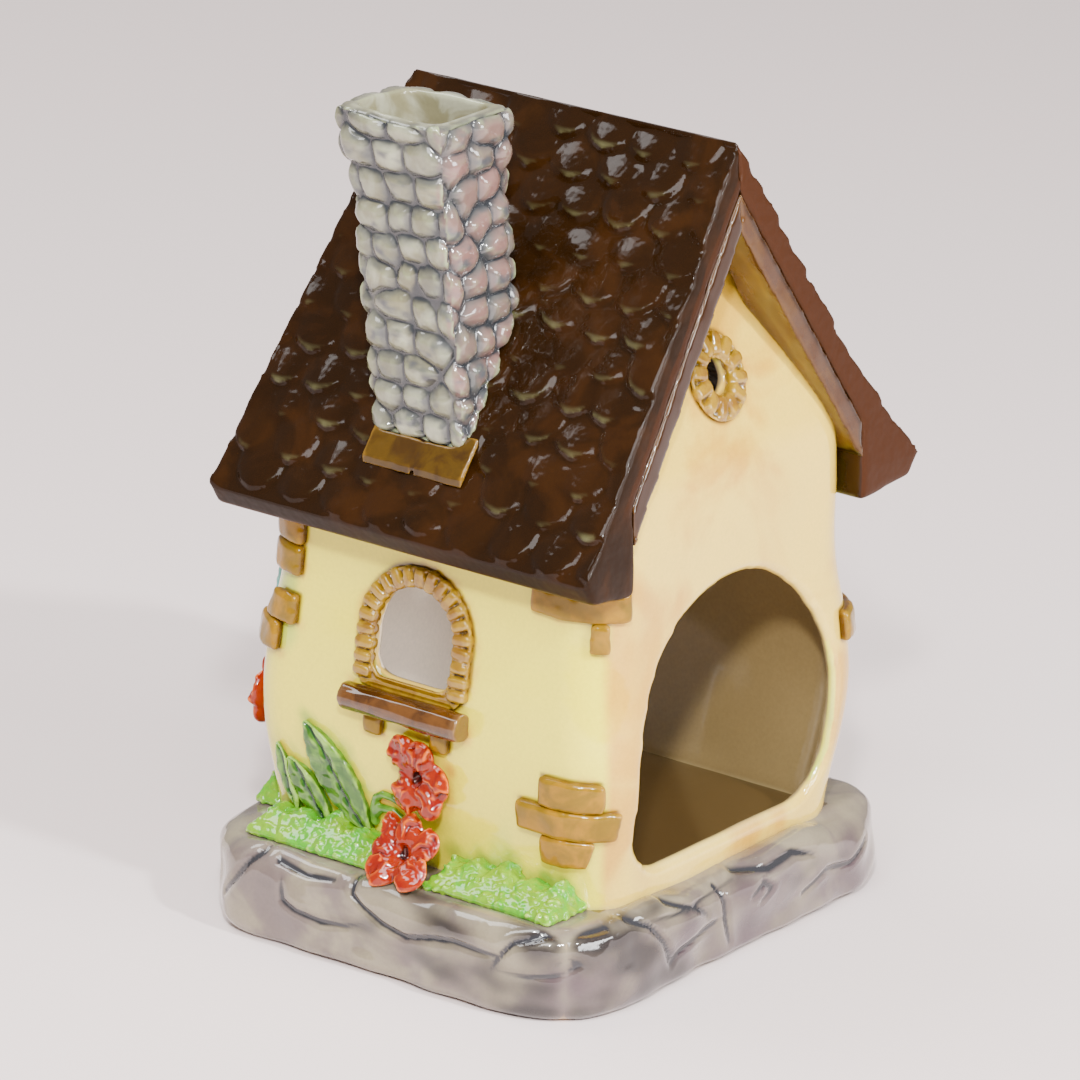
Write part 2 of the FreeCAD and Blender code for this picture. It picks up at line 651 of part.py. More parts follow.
def make_corner_stones(skin):
    """Clusters of stones that wrap a corner: each row has a reach along the side wall and the gable."""
    top, long = ("stone_short", "stone_tip"), ("stone_long", "stone_turn")
    turned, turned_short = ("stone_turn", "stone_turn"), ("stone_short", "stone_turn")
    clusters = (
        ("open_corner_low_stones", "-1", "-1", "stones_low_z", (top, long, top)),
        ("open_corner_high_stones", "-1", "-1", "stones_high_z", (turned, ("stone_long", "stone_middle"))),
        ("door_corner_low_stones", "-1", "1", "stones_mid_z", (("stone_middle", "stone_turn"), top)),
        ("door_corner_high_stones", "-1", "1", "stones_high_z", (turned_short, turned_short)),
        ("far_open_corner_stones", "1", "-1", "stones_mid_z", (("stone_short", "stone_middle"),)),
        ("far_door_corner_stones", "1", "1", "stones_low_z", (long, top)),
    )
    for name, side_x, side_y, foot, rows in clusters:
        stones = []
        for number, (along_side, along_gable) in enumerate(rows):
            ends = []
            for sign, half, reach in ((side_x, "x_belly", along_gable), (side_y, "y_belly", along_side)):
                inner = f"( {half} - {reach} )"
                ends.append((inner, "beyond") if sign == "1" else ("0 - beyond", f"0 - {inner}"))
            low_z = f"{foot} + {number} * ( stone_height + stone_gap )"
            stones.append(box(f"{name}_{number}", (ends[0][0], ends[1][0], low_z),
                              (ends[0][1], ends[1][1], f"{low_z} + stone_height")))
        block = fuse(name + "_blocks", stones) if len(stones) > 1 else stones[0]
        keep(common(name, skin, block), name)


def flower(name, wall, along, height, length, backwards):
    """Five round petals about a middle."""
    body = new_body(name + "_petals")
    sketch = new_sketch(body, name + "_petal", wall[0])
    bind(sketch, AttachmentOffset__Base__x=along, AttachmentOffset__Base__y=height)
    centre = value("petal_offset")
    sketch.addGeometry(Part.Circle(vector(0, centre), FreeCAD.Vector(0, 0, 1), value("petal_radius")))
    hold(sketch, "PointOnObject", 0, 3, -2)
    hold(sketch, "DistanceY", *ORIGIN, 0, 3, to="petal_offset")
    hold(sketch, "Radius", 0, to="petal_radius")
    petal = pad(body, sketch, length, backwards)
    ring = body.newObject("PartDesign::PolarPattern", name + "_petals_round")
    ring.Originals = [petal]
    ring.Axis = (sketch, ["N_Axis"])
    ring.Angle = 360
    ring.Occurrences = 5
    body.Tip = ring
    return body


def make_lower_poppy(outside, plinth, upper):
    """The poppy bedded in the corner between the wall and the plinth, leaning back."""
    petals = flower("lower_poppy", CHIMNEY_WALL, NOUGHT, NOUGHT, "poppy_depth", False)
    petals.Placement.Rotation = FreeCAD.Rotation(FreeCAD.Vector(0, 1, 0), value("poppy_tilt"))
    bind(petals, Placement__Base__x="0 - poppy_x", Placement__Base__y="poppy_y",
         Placement__Base__z="poppy_z", Placement__Rotation__Angle="poppy_tilt")
    hollow = box("under_the_floor", ("base_side - base_half_x", "0 - beyond", NOUGHT),
                 (NOUGHT, "beyond", "base_height - base_top"))
    return keep(cut("lower_poppy", petals, outside, plinth, hollow, upper), "lower_poppy")


def blade(name, wall):
    """A leaf or a stem standing on the plinth against a wall."""
    return prism(name + "_prism", wall[0], leaf_outline, wall[1],
                 (f"{name}_foot_along", f"base_height + {name}_foot_up"),
                 (f"{name}_tip_along", f"base_height + {name}_tip_up"), f"{name}_bow")


def make_garden(skin, thick_skin, outside, plinth, trims):
    """Poppies, leaves, stems and grass on the chimney side, and a poppy bed on the door gable."""
    blooms = {}
    for name, wall, side in (("upper_poppy", CHIMNEY_WALL, "chimney_side"),
                             ("door_gable_upper_poppy", DOOR_GABLE, "door_gable"),
                             ("door_gable_lower_poppy", DOOR_GABLE, "door_gable")):
        petals = flower(name, wall, f"{name}_along", f"base_height + {name}_up", "beyond", wall[1])
        on_wall = common(name + "_on_wall", thick_skin, petals)
        neighbours = [*trims[side], *(blooms.values() if side == "door_gable" else [])]
        blooms[name] = keep(cut(name, on_wall, *neighbours), name)
    upper = blooms.pop("upper_poppy")
    lower = make_lower_poppy(outside, plinth, upper)
    leaves = []
    for name in ("large_leaf", "middle_leaf", "small_leaf"):
        on_wall = common(name + "_on_wall", skin, blade(name, CHIMNEY_WALL))
        leaves.append(keep(cut(name, on_wall, upper, *leaves), name))
    door_leaf = keep(common("door_gable_leaf", skin, blade("door_gable_leaf", DOOR_GABLE)), "door_gable_leaf")
    stems = fuse("both_stems", [blade("upper_stem", CHIMNEY_WALL), blade("lower_stem", CHIMNEY_WALL)])
    stems_on_wall = common("stems_on_wall", skin, stems)
    stems_on_wall = keep(cut("poppy_stems", stems_on_wall, upper, lower, *leaves), "poppy_stems")
    beside = [upper, lower, *leaves, stems_on_wall]
    make_grass("grass_far_clump", CHIMNEY_WALL, outside, beside)
    make_grass("grass_near_clump", CHIMNEY_WALL, outside, beside)
    make_grass("door_gable_grass", DOOR_GABLE, outside, [*blooms.values(), door_leaf])


def make_grass(name, wall, outside, neighbours):
    """A row of tufts on the plinth, high at the wall and low at the outer edge."""
    low, high = f"{name}_from", f"{name}_to"
    corners = [(low, "base_height")]
    for share, lift in TUFTS:
        corners.append((f"{low} + {share} * ( {high} - {low} )", f"base_height + {lift} * blade_height"))
    corners.append((high, "base_height"))
    on_side = wall == CHIMNEY_WALL
    foot, depth = ("x_foot", "grass_depth") if on_side else ("y_foot", "gable_grass_depth")
    body = new_body(name + "_strip")
    pad(body, polygon(body, name + "_outline", wall[0], corners), f"{foot} + {depth}", wall[1])
    sign = "-1" if on_side else "1"
    slope = [(NOUGHT, "base_height"), (f"{sign} * ( {foot} + {depth} )", "base_height"),
             (f"{sign} * ( {foot} + {depth} )", "base_height + grass_edge"),
             (f"{sign} * {foot}", "base_height + grass_top * blade_height"),
             (NOUGHT, "base_height + grass_top * blade_height")]
    wedge = new_body(name + "_wedge")
    plane = "XZ_Plane" if on_side else "YZ_Plane"
    pad(wedge, polygon(wedge, name + "_slope", plane, slope), "2 * beyond", both=True)
    keep(cut(name, common(name + "_tufts", body, wedge), outside, *neighbours), name)


def make_door(skin, outside, plinth):
    """The plank door, its surround, step and knob."""
    leaf = arch_through("door_leaf", DOOR_GABLE, "door_x", "door_half", "base_height + step_height",
                        "door_crown", "door_corner")
    ring = arch_through("door_ring", DOOR_GABLE, "door_x", "door_half + door_ring",
                        "base_height + step_height", "door_crown + door_ring", "door_ring_corner")
    panel = keep(common("cottage_door", skin, leaf), "cottage_door")
    keep(cut("door_surround", common("door_ring_stones", skin, ring), leaf), "door_surround")
    step = box("step_block", ("door_x - door_half - door_ring", NOUGHT, "base_height - base_top"),
               ("door_x + door_half + door_ring", "step_reach", "base_height + step_height"))
    keep(cut("door_step", step, outside, plinth), "door_step")
    knob = doc.addObject("Part::Sphere", "knob_ball")
    bind(knob, Radius="knob_radius", Placement__Base__x="door_x - door_half + knob_in",
         Placement__Base__y="y_skirt + relief + knob_out", Placement__Base__z="z_skirt + knob_up")
    keep(cut("door_knob", knob, outside, panel), "door_knob")


def make_shutters(skin):
    """The pair of shutters beside the door gable's window."""
    for name, sign in (("left_shutter", "-1"), ("right_shutter", "1")):
        near = f"0 - front_window_x + {sign} * ( front_window_half + surround + shutter / 2 ) - shutter / 2"
        block = box(name + "_block", (near, NOUGHT, "window_sill"),
                    (f"{near} + shutter", "beyond", "window_crown - shutter_drop"))
        keep(common(name, skin, block), name)


# ---------------------------------------------------------------- assembly

def build():
    add_sheet()
    plinth = make_plinth()
    outside = house_form("outside_form", "0")
    skin = cut("relief_skin", house_form("relief_form", "relief"), outside)
    thick_skin = cut("bloom_skin", house_form("bloom_form", "bloom"), outside)
    flue = chimney_form("flue_hollow", "flue_wall", "flue_foot_z", "1")
    roof_mass = make_roof_mass()
    near_slope = make_slope("chimney_side_roof", "-1", "bend_near", "eave_near", flue)
    far_slope = make_slope("plain_side_roof", "1", "bend_far", "eave_far")
    stack = chimney_form("chimney_form", "0", "flue_foot_z", "0")
    chimney = keep(cut("chimney_stack", stack, roof_mass, flue), "chimney_stack")
    make_apron_tiles(roof_mass, chimney)
    make_verge_boards(outside, (near_slope, far_slope))
    holes, trims = make_windows(skin, outside)
    doorway = arch_through("doorway_hole", OPEN_GABLE, NOUGHT, "doorway_half", "doorway_sill",
                           "doorway_crown", "doorway_corner")
    vent = doc.addObject("Part::Cylinder", "vent_hole")
    vent.Placement.Rotation = FreeCAD.Rotation(FreeCAD.Vector(1, 0, 0), 90)
    bind(vent, Radius="vent_radius", Height="beyond", Placement__Base__x="vent_x", Placement__Base__z="z_vent")
    make_vent(skin, vent)
    openings = {
        "open_gable_wall": (doorway, vent),
        "door_gable_wall": (holes["door_gable"],),
        "chimney_side_wall": (holes["chimney_side"],),
        "plain_side_wall": (holes["plain_side"],),
    }
    make_walls(outside, roof_mass, (near_slope, far_slope), openings)
    make_shutters(skin)
    make_corner_stones(skin)
    make_garden(skin, thick_skin, outside, plinth, trims)
    make_door(skin, outside, plinth)
    doc.recompute()


def write():
    """Stops on anything that failed, then writes each sub-part."""
    for thing in doc.Objects:
        if "Invalid" in thing.State or "Error" in thing.State:
            raise RuntimeError(f"{thing.Name} failed: {thing.State}")
    for node in nodes:
        if node.Shape.isNull() or not node.Shape.isValid() or not node.Shape.Solids:
            raise RuntimeError(f"{node.Label} has no valid solid")
    os.makedirs("parts", exist_ok=True)
    for node in nodes:
        node.Shape.exportStep(f"parts/{node.Label}.step")
        print(f"{node.Label:32s} {len(node.Shape.Solids):3d} solids {node.Shape.Volume:12.1f} mm3")


build()
write()
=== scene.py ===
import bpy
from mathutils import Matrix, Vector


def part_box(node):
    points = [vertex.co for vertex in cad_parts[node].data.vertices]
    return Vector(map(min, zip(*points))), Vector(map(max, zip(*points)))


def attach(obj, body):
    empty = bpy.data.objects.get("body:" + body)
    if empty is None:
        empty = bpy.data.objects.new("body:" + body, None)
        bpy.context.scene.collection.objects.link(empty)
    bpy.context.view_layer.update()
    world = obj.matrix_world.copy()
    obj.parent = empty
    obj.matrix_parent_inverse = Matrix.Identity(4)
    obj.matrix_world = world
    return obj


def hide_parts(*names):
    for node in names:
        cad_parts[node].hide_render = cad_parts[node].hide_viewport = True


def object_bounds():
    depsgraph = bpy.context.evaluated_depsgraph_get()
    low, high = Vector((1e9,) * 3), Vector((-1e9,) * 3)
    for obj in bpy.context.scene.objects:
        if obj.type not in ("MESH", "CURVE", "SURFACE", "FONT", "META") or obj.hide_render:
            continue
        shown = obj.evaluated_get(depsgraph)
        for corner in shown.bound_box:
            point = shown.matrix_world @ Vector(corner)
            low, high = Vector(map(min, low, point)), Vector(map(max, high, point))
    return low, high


bl_info = {
    "name": "Glazed Cottage Birdhouse",
    "version": (1, 0, 0),
    "blender": (4, 5, 0),
    "location": "3D View > Sidebar > Cottage",
    "description": "Models and glazes a slip-cast cottage birdhouse over its fixed frame",
    "category": "Object",
}

import math

import bmesh
import bpy
import numpy as np
from mathutils import Matrix, Vector, noise
from mathutils.bvhtree import BVHTree

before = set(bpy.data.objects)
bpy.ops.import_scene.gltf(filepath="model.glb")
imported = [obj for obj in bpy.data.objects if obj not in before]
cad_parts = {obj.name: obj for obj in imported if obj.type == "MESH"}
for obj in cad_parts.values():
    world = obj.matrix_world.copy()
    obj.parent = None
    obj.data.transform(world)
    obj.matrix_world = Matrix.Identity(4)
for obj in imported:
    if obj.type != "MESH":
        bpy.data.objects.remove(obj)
CAD_BOX = [list(corner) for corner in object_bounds()]

MM = 0.001
HAIR = 0.04 * MM  # how far neighbours are grown so that they run into each other

# How fine each piece's skin is cast, in millimetres; the finer its detail, the finer the skin.
FINENESS = {
    "plinth": 0.9, "walls": 0.98, "slab": 1.1, "shingles": 0.66, "chimney": 0.55, "chimney_line": 1.5, "apron": 0.45,
    "ring_bed": 0.5, "ring": 0.33, "stone": 0.4, "log": 0.45, "board": 0.6, "poppy": 0.33, "stem": 0.33, "leaf": 0.38,
    "turf": 0.6, "grass": 0.42, "door": 0.45, "knob": 0.3,
}

# Sizes of the pieces' details, in millimetres where nothing else is said.
FOOT_BEDDING = 1.8  # how deep the walls' foot sits in the plinth
TILE_UNDERSIDE = -2.6  # height of a tile's flat underside, inside the slab
TILE_COLUMNS = range(-5, 6)
FLUE_HALVES = (11.0, 12.4)  # half widths across and along the ridge that the tiles keep out of
RING_WIDTH = 5.2  # width of a window's surround
RING_HALF = 14.3  # half width of a side window's ring, which the count of bricks is given for
BRICK_LENGTH = 5.6
VENT_INSET = 2.9  # from the vent ring's outside to the middle of its bricks
VENT_BRICK = (6.2, 3.4)
VENT_BRICKS = 12
STRAY = (0.36, 0.2)  # how far a cobble strays, as shares of its length and of its course
LOBE_LIFTS = (0.7, 1.5, 0.9, 1.7, 1.2, 0.8)  # how far each lobe of a poppy stands forward, so that they overlap
LOBE_TILT = -9  # degrees
TUFT_SHARE, MOST_TUFTS = 0.05, 420  # the share of the grass's upper points that carry a tuft, and the most of them

# Patterns of the glaze, per metre: a streak each 0.9 mm and a ripple each 3 mm.
STREAKS = 1100.0
RIPPLES = 330.0

WALLS = ("open_gable_wall", "door_gable_wall", "chimney_side_wall", "plain_side_wall")
ROOFS = ("chimney_side_roof", "plain_side_roof")
STONES = (
    "open_corner_low_stones", "open_corner_high_stones", "door_corner_low_stones", "door_corner_high_stones",
    "far_open_corner_stones", "far_door_corner_stones",
)
VERGE_BOARDS = (
    "chimney_side_open_verge_board", "chimney_side_door_verge_board",
    "plain_side_open_verge_board", "plain_side_door_verge_board",
)
SILLS = ("chimney_side_window_sill", "plain_side_window_sill", "door_gable_window_sill")
CORBELS = ("chimney_side_sill_corbels", "plain_side_sill_corbels", "door_gable_sill_corbels")
RINGS = ("chimney_side_window_surround", "plain_side_window_surround", "door_gable_window_surround")
VENT = "gable_vent_surround"
STEM_NODE = "poppy_stems"
LEAVES = ("large_leaf", "middle_leaf", "small_leaf", "door_gable_leaf")
GRASSES = ("grass_far_clump", "grass_near_clump", "door_gable_grass")

# Cracks carved in the plinth, as (distance along the face, height, depth) in millimetres.  On the chimney
# side the distance runs along Y, on the open gable along X; the two other faces carry them turned round.
SIDE_CRACKS = (
    ((7.4, 23.0, 0.8), (6.6, 19.5, 1.3), (3.0, 16.9, 1.5), (-2.6, 14.2, 1.5), (-9.7, 12.6, 1.5), (-17.9, 14.6, 1.4),
     (-24.7, 15.8, 1.2), (-31.6, 15.6, 1.1), (-38.4, 15.9, 0.7)),
    ((-36.2, 11.6, 0.5), (-39.1, 16.4, 1.3), (-41.7, 19.7, 1.4), (-48.0, 21.6, 1.3), (-58.0, 22.6, 0.9)),
    ((27.5, 18.6, 0.4), (26.6, 13.0, 1.3), (22.7, 11.2, 1.3), (15.6, 9.9, 1.1), (8.5, 10.6, 0.8), (2.9, 12.2, 0.3)),
    ((46.0, 9.5, 1.0), (41.6, 14.5, 1.5), (38.0, 19.5, 1.4), (34.5, 22.4, 0.8)),
    ((-38.0, 12.0, 0.4), (-45.5, 11.6, 0.9), (-52.2, 12.6, 1.0), (-55.1, 15.1, 0.9), (-53.4, 16.6, 0.8),
     (-51.4, 15.2, 0.6)),
    ((30.0, 21.6, 1.0), (21.0, 20.6, 1.2), (13.0, 21.4, 0.7)),
)
GABLE_CRACKS = (
    ((-46.0, 22.6, 1.0), (-39.7, 19.6, 1.4), (-34.6, 13.4, 1.4), (-29.9, 6.9, 0.9)),
    ((-30.0, 7.5, 0.7), (-27.7, 9.1, 1.2), (-19.0, 11.0, 1.3), (-10.9, 11.9, 0.7)),
    ((-31.0, 22.4, 1.0), (-20.9, 18.6, 1.4), (-15.9, 15.2, 0.7)),
    ((-10.5, 21.5, 1.1), (-7.9, 12.2, 1.4), (-4.6, 4.4, 0.7)),
    ((-40.6, 20.4, 0.5), (-24.7, 18.9, 0.8), (-4.0, 20.9, 0.5)),
    ((1.5, 15.0, 0.7), (5.1, 17.6, 1.1), (8.3, 15.4, 1.0), (5.6, 12.6, 0.6)),
    ((-2.6, 22.4, 0.8), (7.4, 19.8, 1.2), (19.0, 20.6, 1.1), (27.0, 18.5, 0.6)),
    ((24.0, 9.0, 0.7), (33.0, 12.6, 1.3), (44.0, 11.0, 1.2), (52.0, 15.0, 0.8)),
)

# The two poppies' stems on the chimney-side wall, as (distance along Y, height) in millimetres.
STEMS = (
    ((13.4, 31.6), (13.3, 35.6), (12.4, 38.2), (10.2, 39.6), (7.4, 39.3), (4.2, 38.2)),
    ((13.4, 33.0), (11.0, 35.6), (7.6, 35.8), (4.4, 34.0)),
)

# Lobes of a poppy seen from the front, as (right, up, reach, width, turn in degrees), in millimetres.
UPPER_LOBES = (
    (-3.9, 5.2, 5.4, 4.6, 125), (1.6, 6.0, 4.4, 4.2, 70), (5.6, -0.4, 5.4, 5.0, -10),
    (4.6, -5.0, 5.0, 4.6, -50), (-2.0, -4.8, 4.9, 4.6, 250),
)
LOWER_LOBES = (
    (-6.0, 5.6, 5.0, 2.6, 130), (-0.6, 5.6, 4.6, 4.0, 95), (5.0, 3.6, 4.8, 4.2, 30),
    (5.0, -4.6, 4.9, 4.6, -45), (-3.6, -5.0, 5.0, 4.6, 235), (-6.4, 0.2, 3.6, 3.4, 180),
)


def linear(colour):
    """An sRGB hex colour as linear red, green, blue and alpha."""
    parts = [int(colour[place:place + 2], 16) / 255 for place in (1, 3, 5)]
    return [part / 12.92 if part <= 0.04045 else ((part + 0.055) / 1.055) ** 2.4 for part in parts] + [1.0]


def colour_property(label, tells, colour):
    return bpy.props.FloatVectorProperty(
        name=label, description=tells, subtype="COLOR", size=4, min=0, max=1, default=linear(colour))


def length_property(label, tells, millimetres):
    return bpy.props.FloatProperty(
        name=label, description=tells, subtype="DISTANCE", unit="LENGTH", default=millimetres * MM, min=0, precision=5)


def add(tree, kind, settings=None, inputs=None):
    """A new node with its settings, and its inputs set or linked."""
    item = tree.nodes.new(kind)
    for name, setting in (settings or {}).items():
        setattr(item, name, setting)
    for key, given in (inputs or {}).items():
        if isinstance(given, bpy.types.NodeSocket):
            tree.links.new(given, item.inputs[key])
        else:
            item.inputs[key].default_value = given
    return item


# ---------------------------------------------------------------- forms


def points_of(mesh):
    flat = np.empty(len(mesh.vertices) * 3)
    mesh.vertices.foreach_get("co", flat)
    return flat.reshape(-1, 3)


def normals_of(mesh):
    flat = np.empty(len(mesh.vertices) * 3)
    mesh.vertices.foreach_get("normal", flat)
    return flat.reshape(-1, 3)


def put_points(mesh, points):
    mesh.vertices.foreach_set("co", np.ascontiguousarray(points).ravel())
    mesh.update()


def mesh_of(form, name):
    """The plain mesh of a form, which is let go."""
    mesh = bpy.data.meshes.new(name)
    form.to_mesh(mesh)
    form.free()
    return mesh


def join(*meshes):
    """Several meshes in one; the separate ones are dropped."""
    whole = bmesh.new()
    for mesh in meshes:
        whole.from_mesh(mesh)
        bpy.data.meshes.remove(mesh)
    return mesh_of(whole, "joined")


def cad_tree(*names):
    """A search tree over the faces of CAD nodes."""
    solid = bmesh.new()
    for name in names:
        solid.from_mesh(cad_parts[name].data)
    tree = BVHTree.FromBMesh(solid)
    solid.free()
    return tree


def node_copy(*names):
    """Merged copies of CAD nodes, grown by a hair so that neighbours run into each other."""
    copies = []
    for name in names:
        solid = bmesh.new()
        solid.from_mesh(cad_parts[name].data)
        bmesh.ops.remove_doubles(solid, verts=solid.verts, dist=0.005 * MM)
        solid.normal_update()
        for vertex in solid.verts:
            vertex.co += vertex.normal * HAIR
        copies.append(mesh_of(solid, name))
    return join(*copies)


def recast(mesh, piece):
    """The same form as one closed skin of even faces, as fine as the piece needs."""
    holder = bpy.data.objects.new("mould", mesh)
    bpy.context.scene.collection.objects.link(holder)
    press = holder.modifiers.new("press", "REMESH")
    press.mode = "VOXEL"
    press.voxel_size = FINENESS[piece] * MM * 1.0
    skin = bpy.data.meshes.new_from_object(holder.evaluated_get(bpy.context.evaluated_depsgraph_get()))
    bpy.data.objects.remove(holder)
    bpy.data.meshes.remove(mesh)
    return skin


def eased(mesh, points, passes, pull=0.5):
    """The points drawn toward their neighbours' middle, as a melting glaze rounds an edge."""
    count = len(points)
    ends = np.empty(len(mesh.edges) * 2, dtype=np.int64)
    mesh.edges.foreach_get("vertices", ends)
    one, other = ends.reshape(-1, 2).T
    neighbours = np.maximum(np.bincount(one, minlength=count) + np.bincount(other, minlength=count), 1)
    for _ in range(passes):
        middle = np.empty_like(points)
        for axis in range(3):
            middle[:, axis] = (np.bincount(one, points[other, axis], count)
                               + np.bincount(other, points[one, axis], count)) / neighbours
        points = points + pull * (middle - points)
    return points


def calmed(mesh, rounds):
    """Points smoothed back and forth, so that short waves go and the size stays."""
    points = points_of(mesh)
    for _ in range(rounds):
        points = eased(mesh, eased(mesh, points, 1, 0.6), 1, -0.62)
    return points


def soften(mesh, passes):
    put_points(mesh, eased(mesh, points_of(mesh), passes))


def cast(names, piece, passes=3):
    """CAD nodes as one soft-edged casting."""
    mesh = recast(node_copy(*names), piece)
    soften(mesh, passes)
    return mesh


def cast_apart(name, piece, passes, swell):
    """A CAD node of several solids with each solid cast by itself, so that the creases between them stay."""
    whole = bmesh.new()
    copy = node_copy(name)
    whole.from_mesh(copy)
    bpy.data.meshes.remove(copy)
    left = set(whole.verts)
    pillows = []
    while left:
        found, edge = set(), [left.pop()]
        while edge:
            vertex = edge.pop()
            found.add(vertex)
            beside = {bond.other_vert(vertex) for bond in vertex.link_edges} & left
            left -= beside
            edge.extend(beside)
        single = whole.copy()
        inside = {vertex.index for vertex in found}
        bmesh.ops.delete(single, geom=[vertex for vertex in single.verts if vertex.index not in inside])
        mesh = recast(mesh_of(single, "solid"), piece)
        soften(mesh, passes)
        push(mesh, swell)
        pillows.append(mesh)
    whole.free()
    return join(*pillows)


def push(mesh, amount):
    """Moves every point along its normal, all by one amount or each by its own."""
    put_points(mesh, points_of(mesh) + normals_of(mesh) * np.atleast_1d(amount)[:, None])


def outwardness(normals, offset):
    """How far each normal points away from the middle, seen from above, where the offset is from that middle."""
    return np.einsum("ij,ij->i", normals[:, :2], offset) / np.maximum(np.linalg.norm(offset, axis=1), 1e-6)


def furthest(level, sizes):
    """The largest size found at each level."""
    reach = np.zeros(level.max() + 1)
    np.maximum.at(reach, level, sizes)
    return reach


def step(low, high, values):
    """A smooth step from 0 at low to 1 at high."""
    share = np.clip((values - low) / (high - low), 0, 1)
    return share * share * (3 - 2 * share)


def cloud(points, size, seed, octaves=2):
    """Soft noise from about -1 to 1, with lumps of the given size in millimetres."""
    places = points / (size * MM) + seed * 7.31
    return np.array([noise.fractal(Vector(place), 0.8, 2.0, octaves) for place in places])


def roughen(mesh, size, seed, depth, stretch=(1, 1, 1)):
    """Pushes a skin in and out in soft lumps of the given size in millimetres."""
    push(mesh, cloud(points_of(mesh) * stretch, size, seed) * depth)


def crumbs(points, size, seed):
    """Distances to the nearest of many seeds scattered at the given size in millimetres, in that size."""
    return np.array([noise.voronoi(Vector(place))[0][0] for place in points / (size * MM) + seed * 3.17])


def near(points, names, reach):
    """1 where a point touches one of the CAD nodes, falling to 0 at the reach in millimetres."""
    tree, reach = cad_tree(*names), reach * MM
    found = [tree.find_nearest(Vector(point), reach)[3] for point in points]
    return np.array([0.0 if gap is None else 1 - gap / reach for gap in found])


def carve(across, height, lines):
    """The depth and the distance of the nearest carved line, given as (across, height, depth) points in mm."""
    gaps = np.full(len(across), 1e3)
    depths = np.zeros(len(across))
    for line in lines:
        for (a, b, deep), (c, d, deeper) in zip(line, line[1:]):
            run = np.array((c - a, d - b))
            share = np.clip(((across - a) * run[0] + (height - b) * run[1]) / (run @ run), 0, 1)
            gap = np.hypot(across - a - share * run[0], height - b - share * run[1])
            closer = gap < gaps
            gaps[closer] = gap[closer]
            depths[closer] = (deep + share * (deeper - deep))[closer]
    return depths, gaps


def write_values(mesh, **layers):
    """Attributes that the glazes read, each with a value for every point."""
    for name, values in layers.items():
        layer = mesh.attributes.new(name, "FLOAT", "POINT")
        layer.data.foreach_set("value", np.asarray(values, dtype=np.float32))


def feel(mesh, passes=14, share=1.0):
    """Writes how far each point stands above its surroundings, in millimetres: glaze thins there and pools below."""
    points = points_of(mesh)
    level = eased(mesh, points, passes)
    write_values(mesh, rise=np.einsum("ij,ij->i", points - level, normals_of(mesh)) / MM * share)


def pebble(along, across, tall, power=4.0, cuts=3):
    """A rounded block with a few dozen faces."""
    block = bmesh.new()
    bmesh.ops.create_cube(block, size=2)
    bmesh.ops.subdivide_edges(block, edges=block.edges, cuts=cuts, use_grid_fill=True)
    for vertex in block.verts:
        radius = sum(abs(part) ** power for part in vertex.co) ** (1 / power)
        vertex.co = Vector((vertex.co.x * across, vertex.co.y * along, vertex.co.z * tall)) / radius / 2
    return mesh_of(block, "pebble")


def guide_tree():
    """Sets a shape on every guide point, turned by the point's own axes, with seeded differences."""
    tree = bpy.data.node_groups.new("set_on_guides", "GeometryNodeTree")
    for label, kind in (("Guides", "NodeSocketGeometry"), ("Shape", "NodeSocketObject"),
                        ("Size Jitter", "NodeSocketFloat"), ("Turn Jitter", "NodeSocketFloat"),
                        ("Seed", "NodeSocketInt"), ("Finish", "NodeSocketMaterial")):
        tree.interface.new_socket(label, in_out="INPUT", socket_type=kind)
    tree.interface.new_socket("Pieces", in_out="OUTPUT", socket_type="NodeSocketGeometry")
    given = add(tree, "NodeGroupInput").outputs
    axes = [add(tree, "GeometryNodeInputNamedAttribute", {"data_type": "FLOAT_VECTOR"}, {"Name": name}).outputs[0]
            for name in ("out", "along", "size")]
    aim = add(tree, "FunctionNodeAxesToRotation", {"primary_axis": "Z", "secondary_axis": "Y"},
              {0: axes[0], 1: axes[1]})
    least_turn = add(tree, "ShaderNodeMath", {"operation": "MULTIPLY"}, {0: given["Turn Jitter"], 1: -1.0})
    turn = add(tree, "FunctionNodeRandomValue", {"data_type": "FLOAT_VECTOR"},
               {0: least_turn.outputs[0], 1: given["Turn Jitter"], 8: given["Seed"]})
    nudge = add(tree, "FunctionNodeEulerToRotation", None, {0: turn.outputs[0]})
    facing = add(tree, "FunctionNodeRotateRotation", {"rotation_space": "LOCAL"},
                 {0: aim.outputs[0], 1: nudge.outputs[0]})
    least = add(tree, "ShaderNodeMath", {"operation": "SUBTRACT"}, {0: 1.0, 1: given["Size Jitter"]})
    most = add(tree, "ShaderNodeMath", {"operation": "ADD"}, {0: 1.0, 1: given["Size Jitter"]})
    grow = add(tree, "FunctionNodeRandomValue", {"data_type": "FLOAT_VECTOR"},
               {0: least.outputs[0], 1: most.outputs[0], 8: given["Seed"]})
    size = add(tree, "ShaderNodeVectorMath", {"operation": "MULTIPLY"}, {0: grow.outputs[0], 1: axes[2]})
    shape = add(tree, "GeometryNodeObjectInfo", None, {"Object": given["Shape"]})
    copies = add(tree, "GeometryNodeInstanceOnPoints", None,
                 {"Points": given["Guides"], "Instance": shape.outputs["Geometry"], "Rotation": facing.outputs[0],
                  "Scale": size.outputs[0]})
    real = add(tree, "GeometryNodeRealizeInstances", None, {"Geometry": copies.outputs[0]})
    finish = add(tree, "GeometryNodeSetMaterial", None, {"Geometry": real.outputs[0], "Material": given["Finish"]})
    add(tree, "NodeGroupOutput", None, {"Pieces": finish.outputs[0]})
    return tree


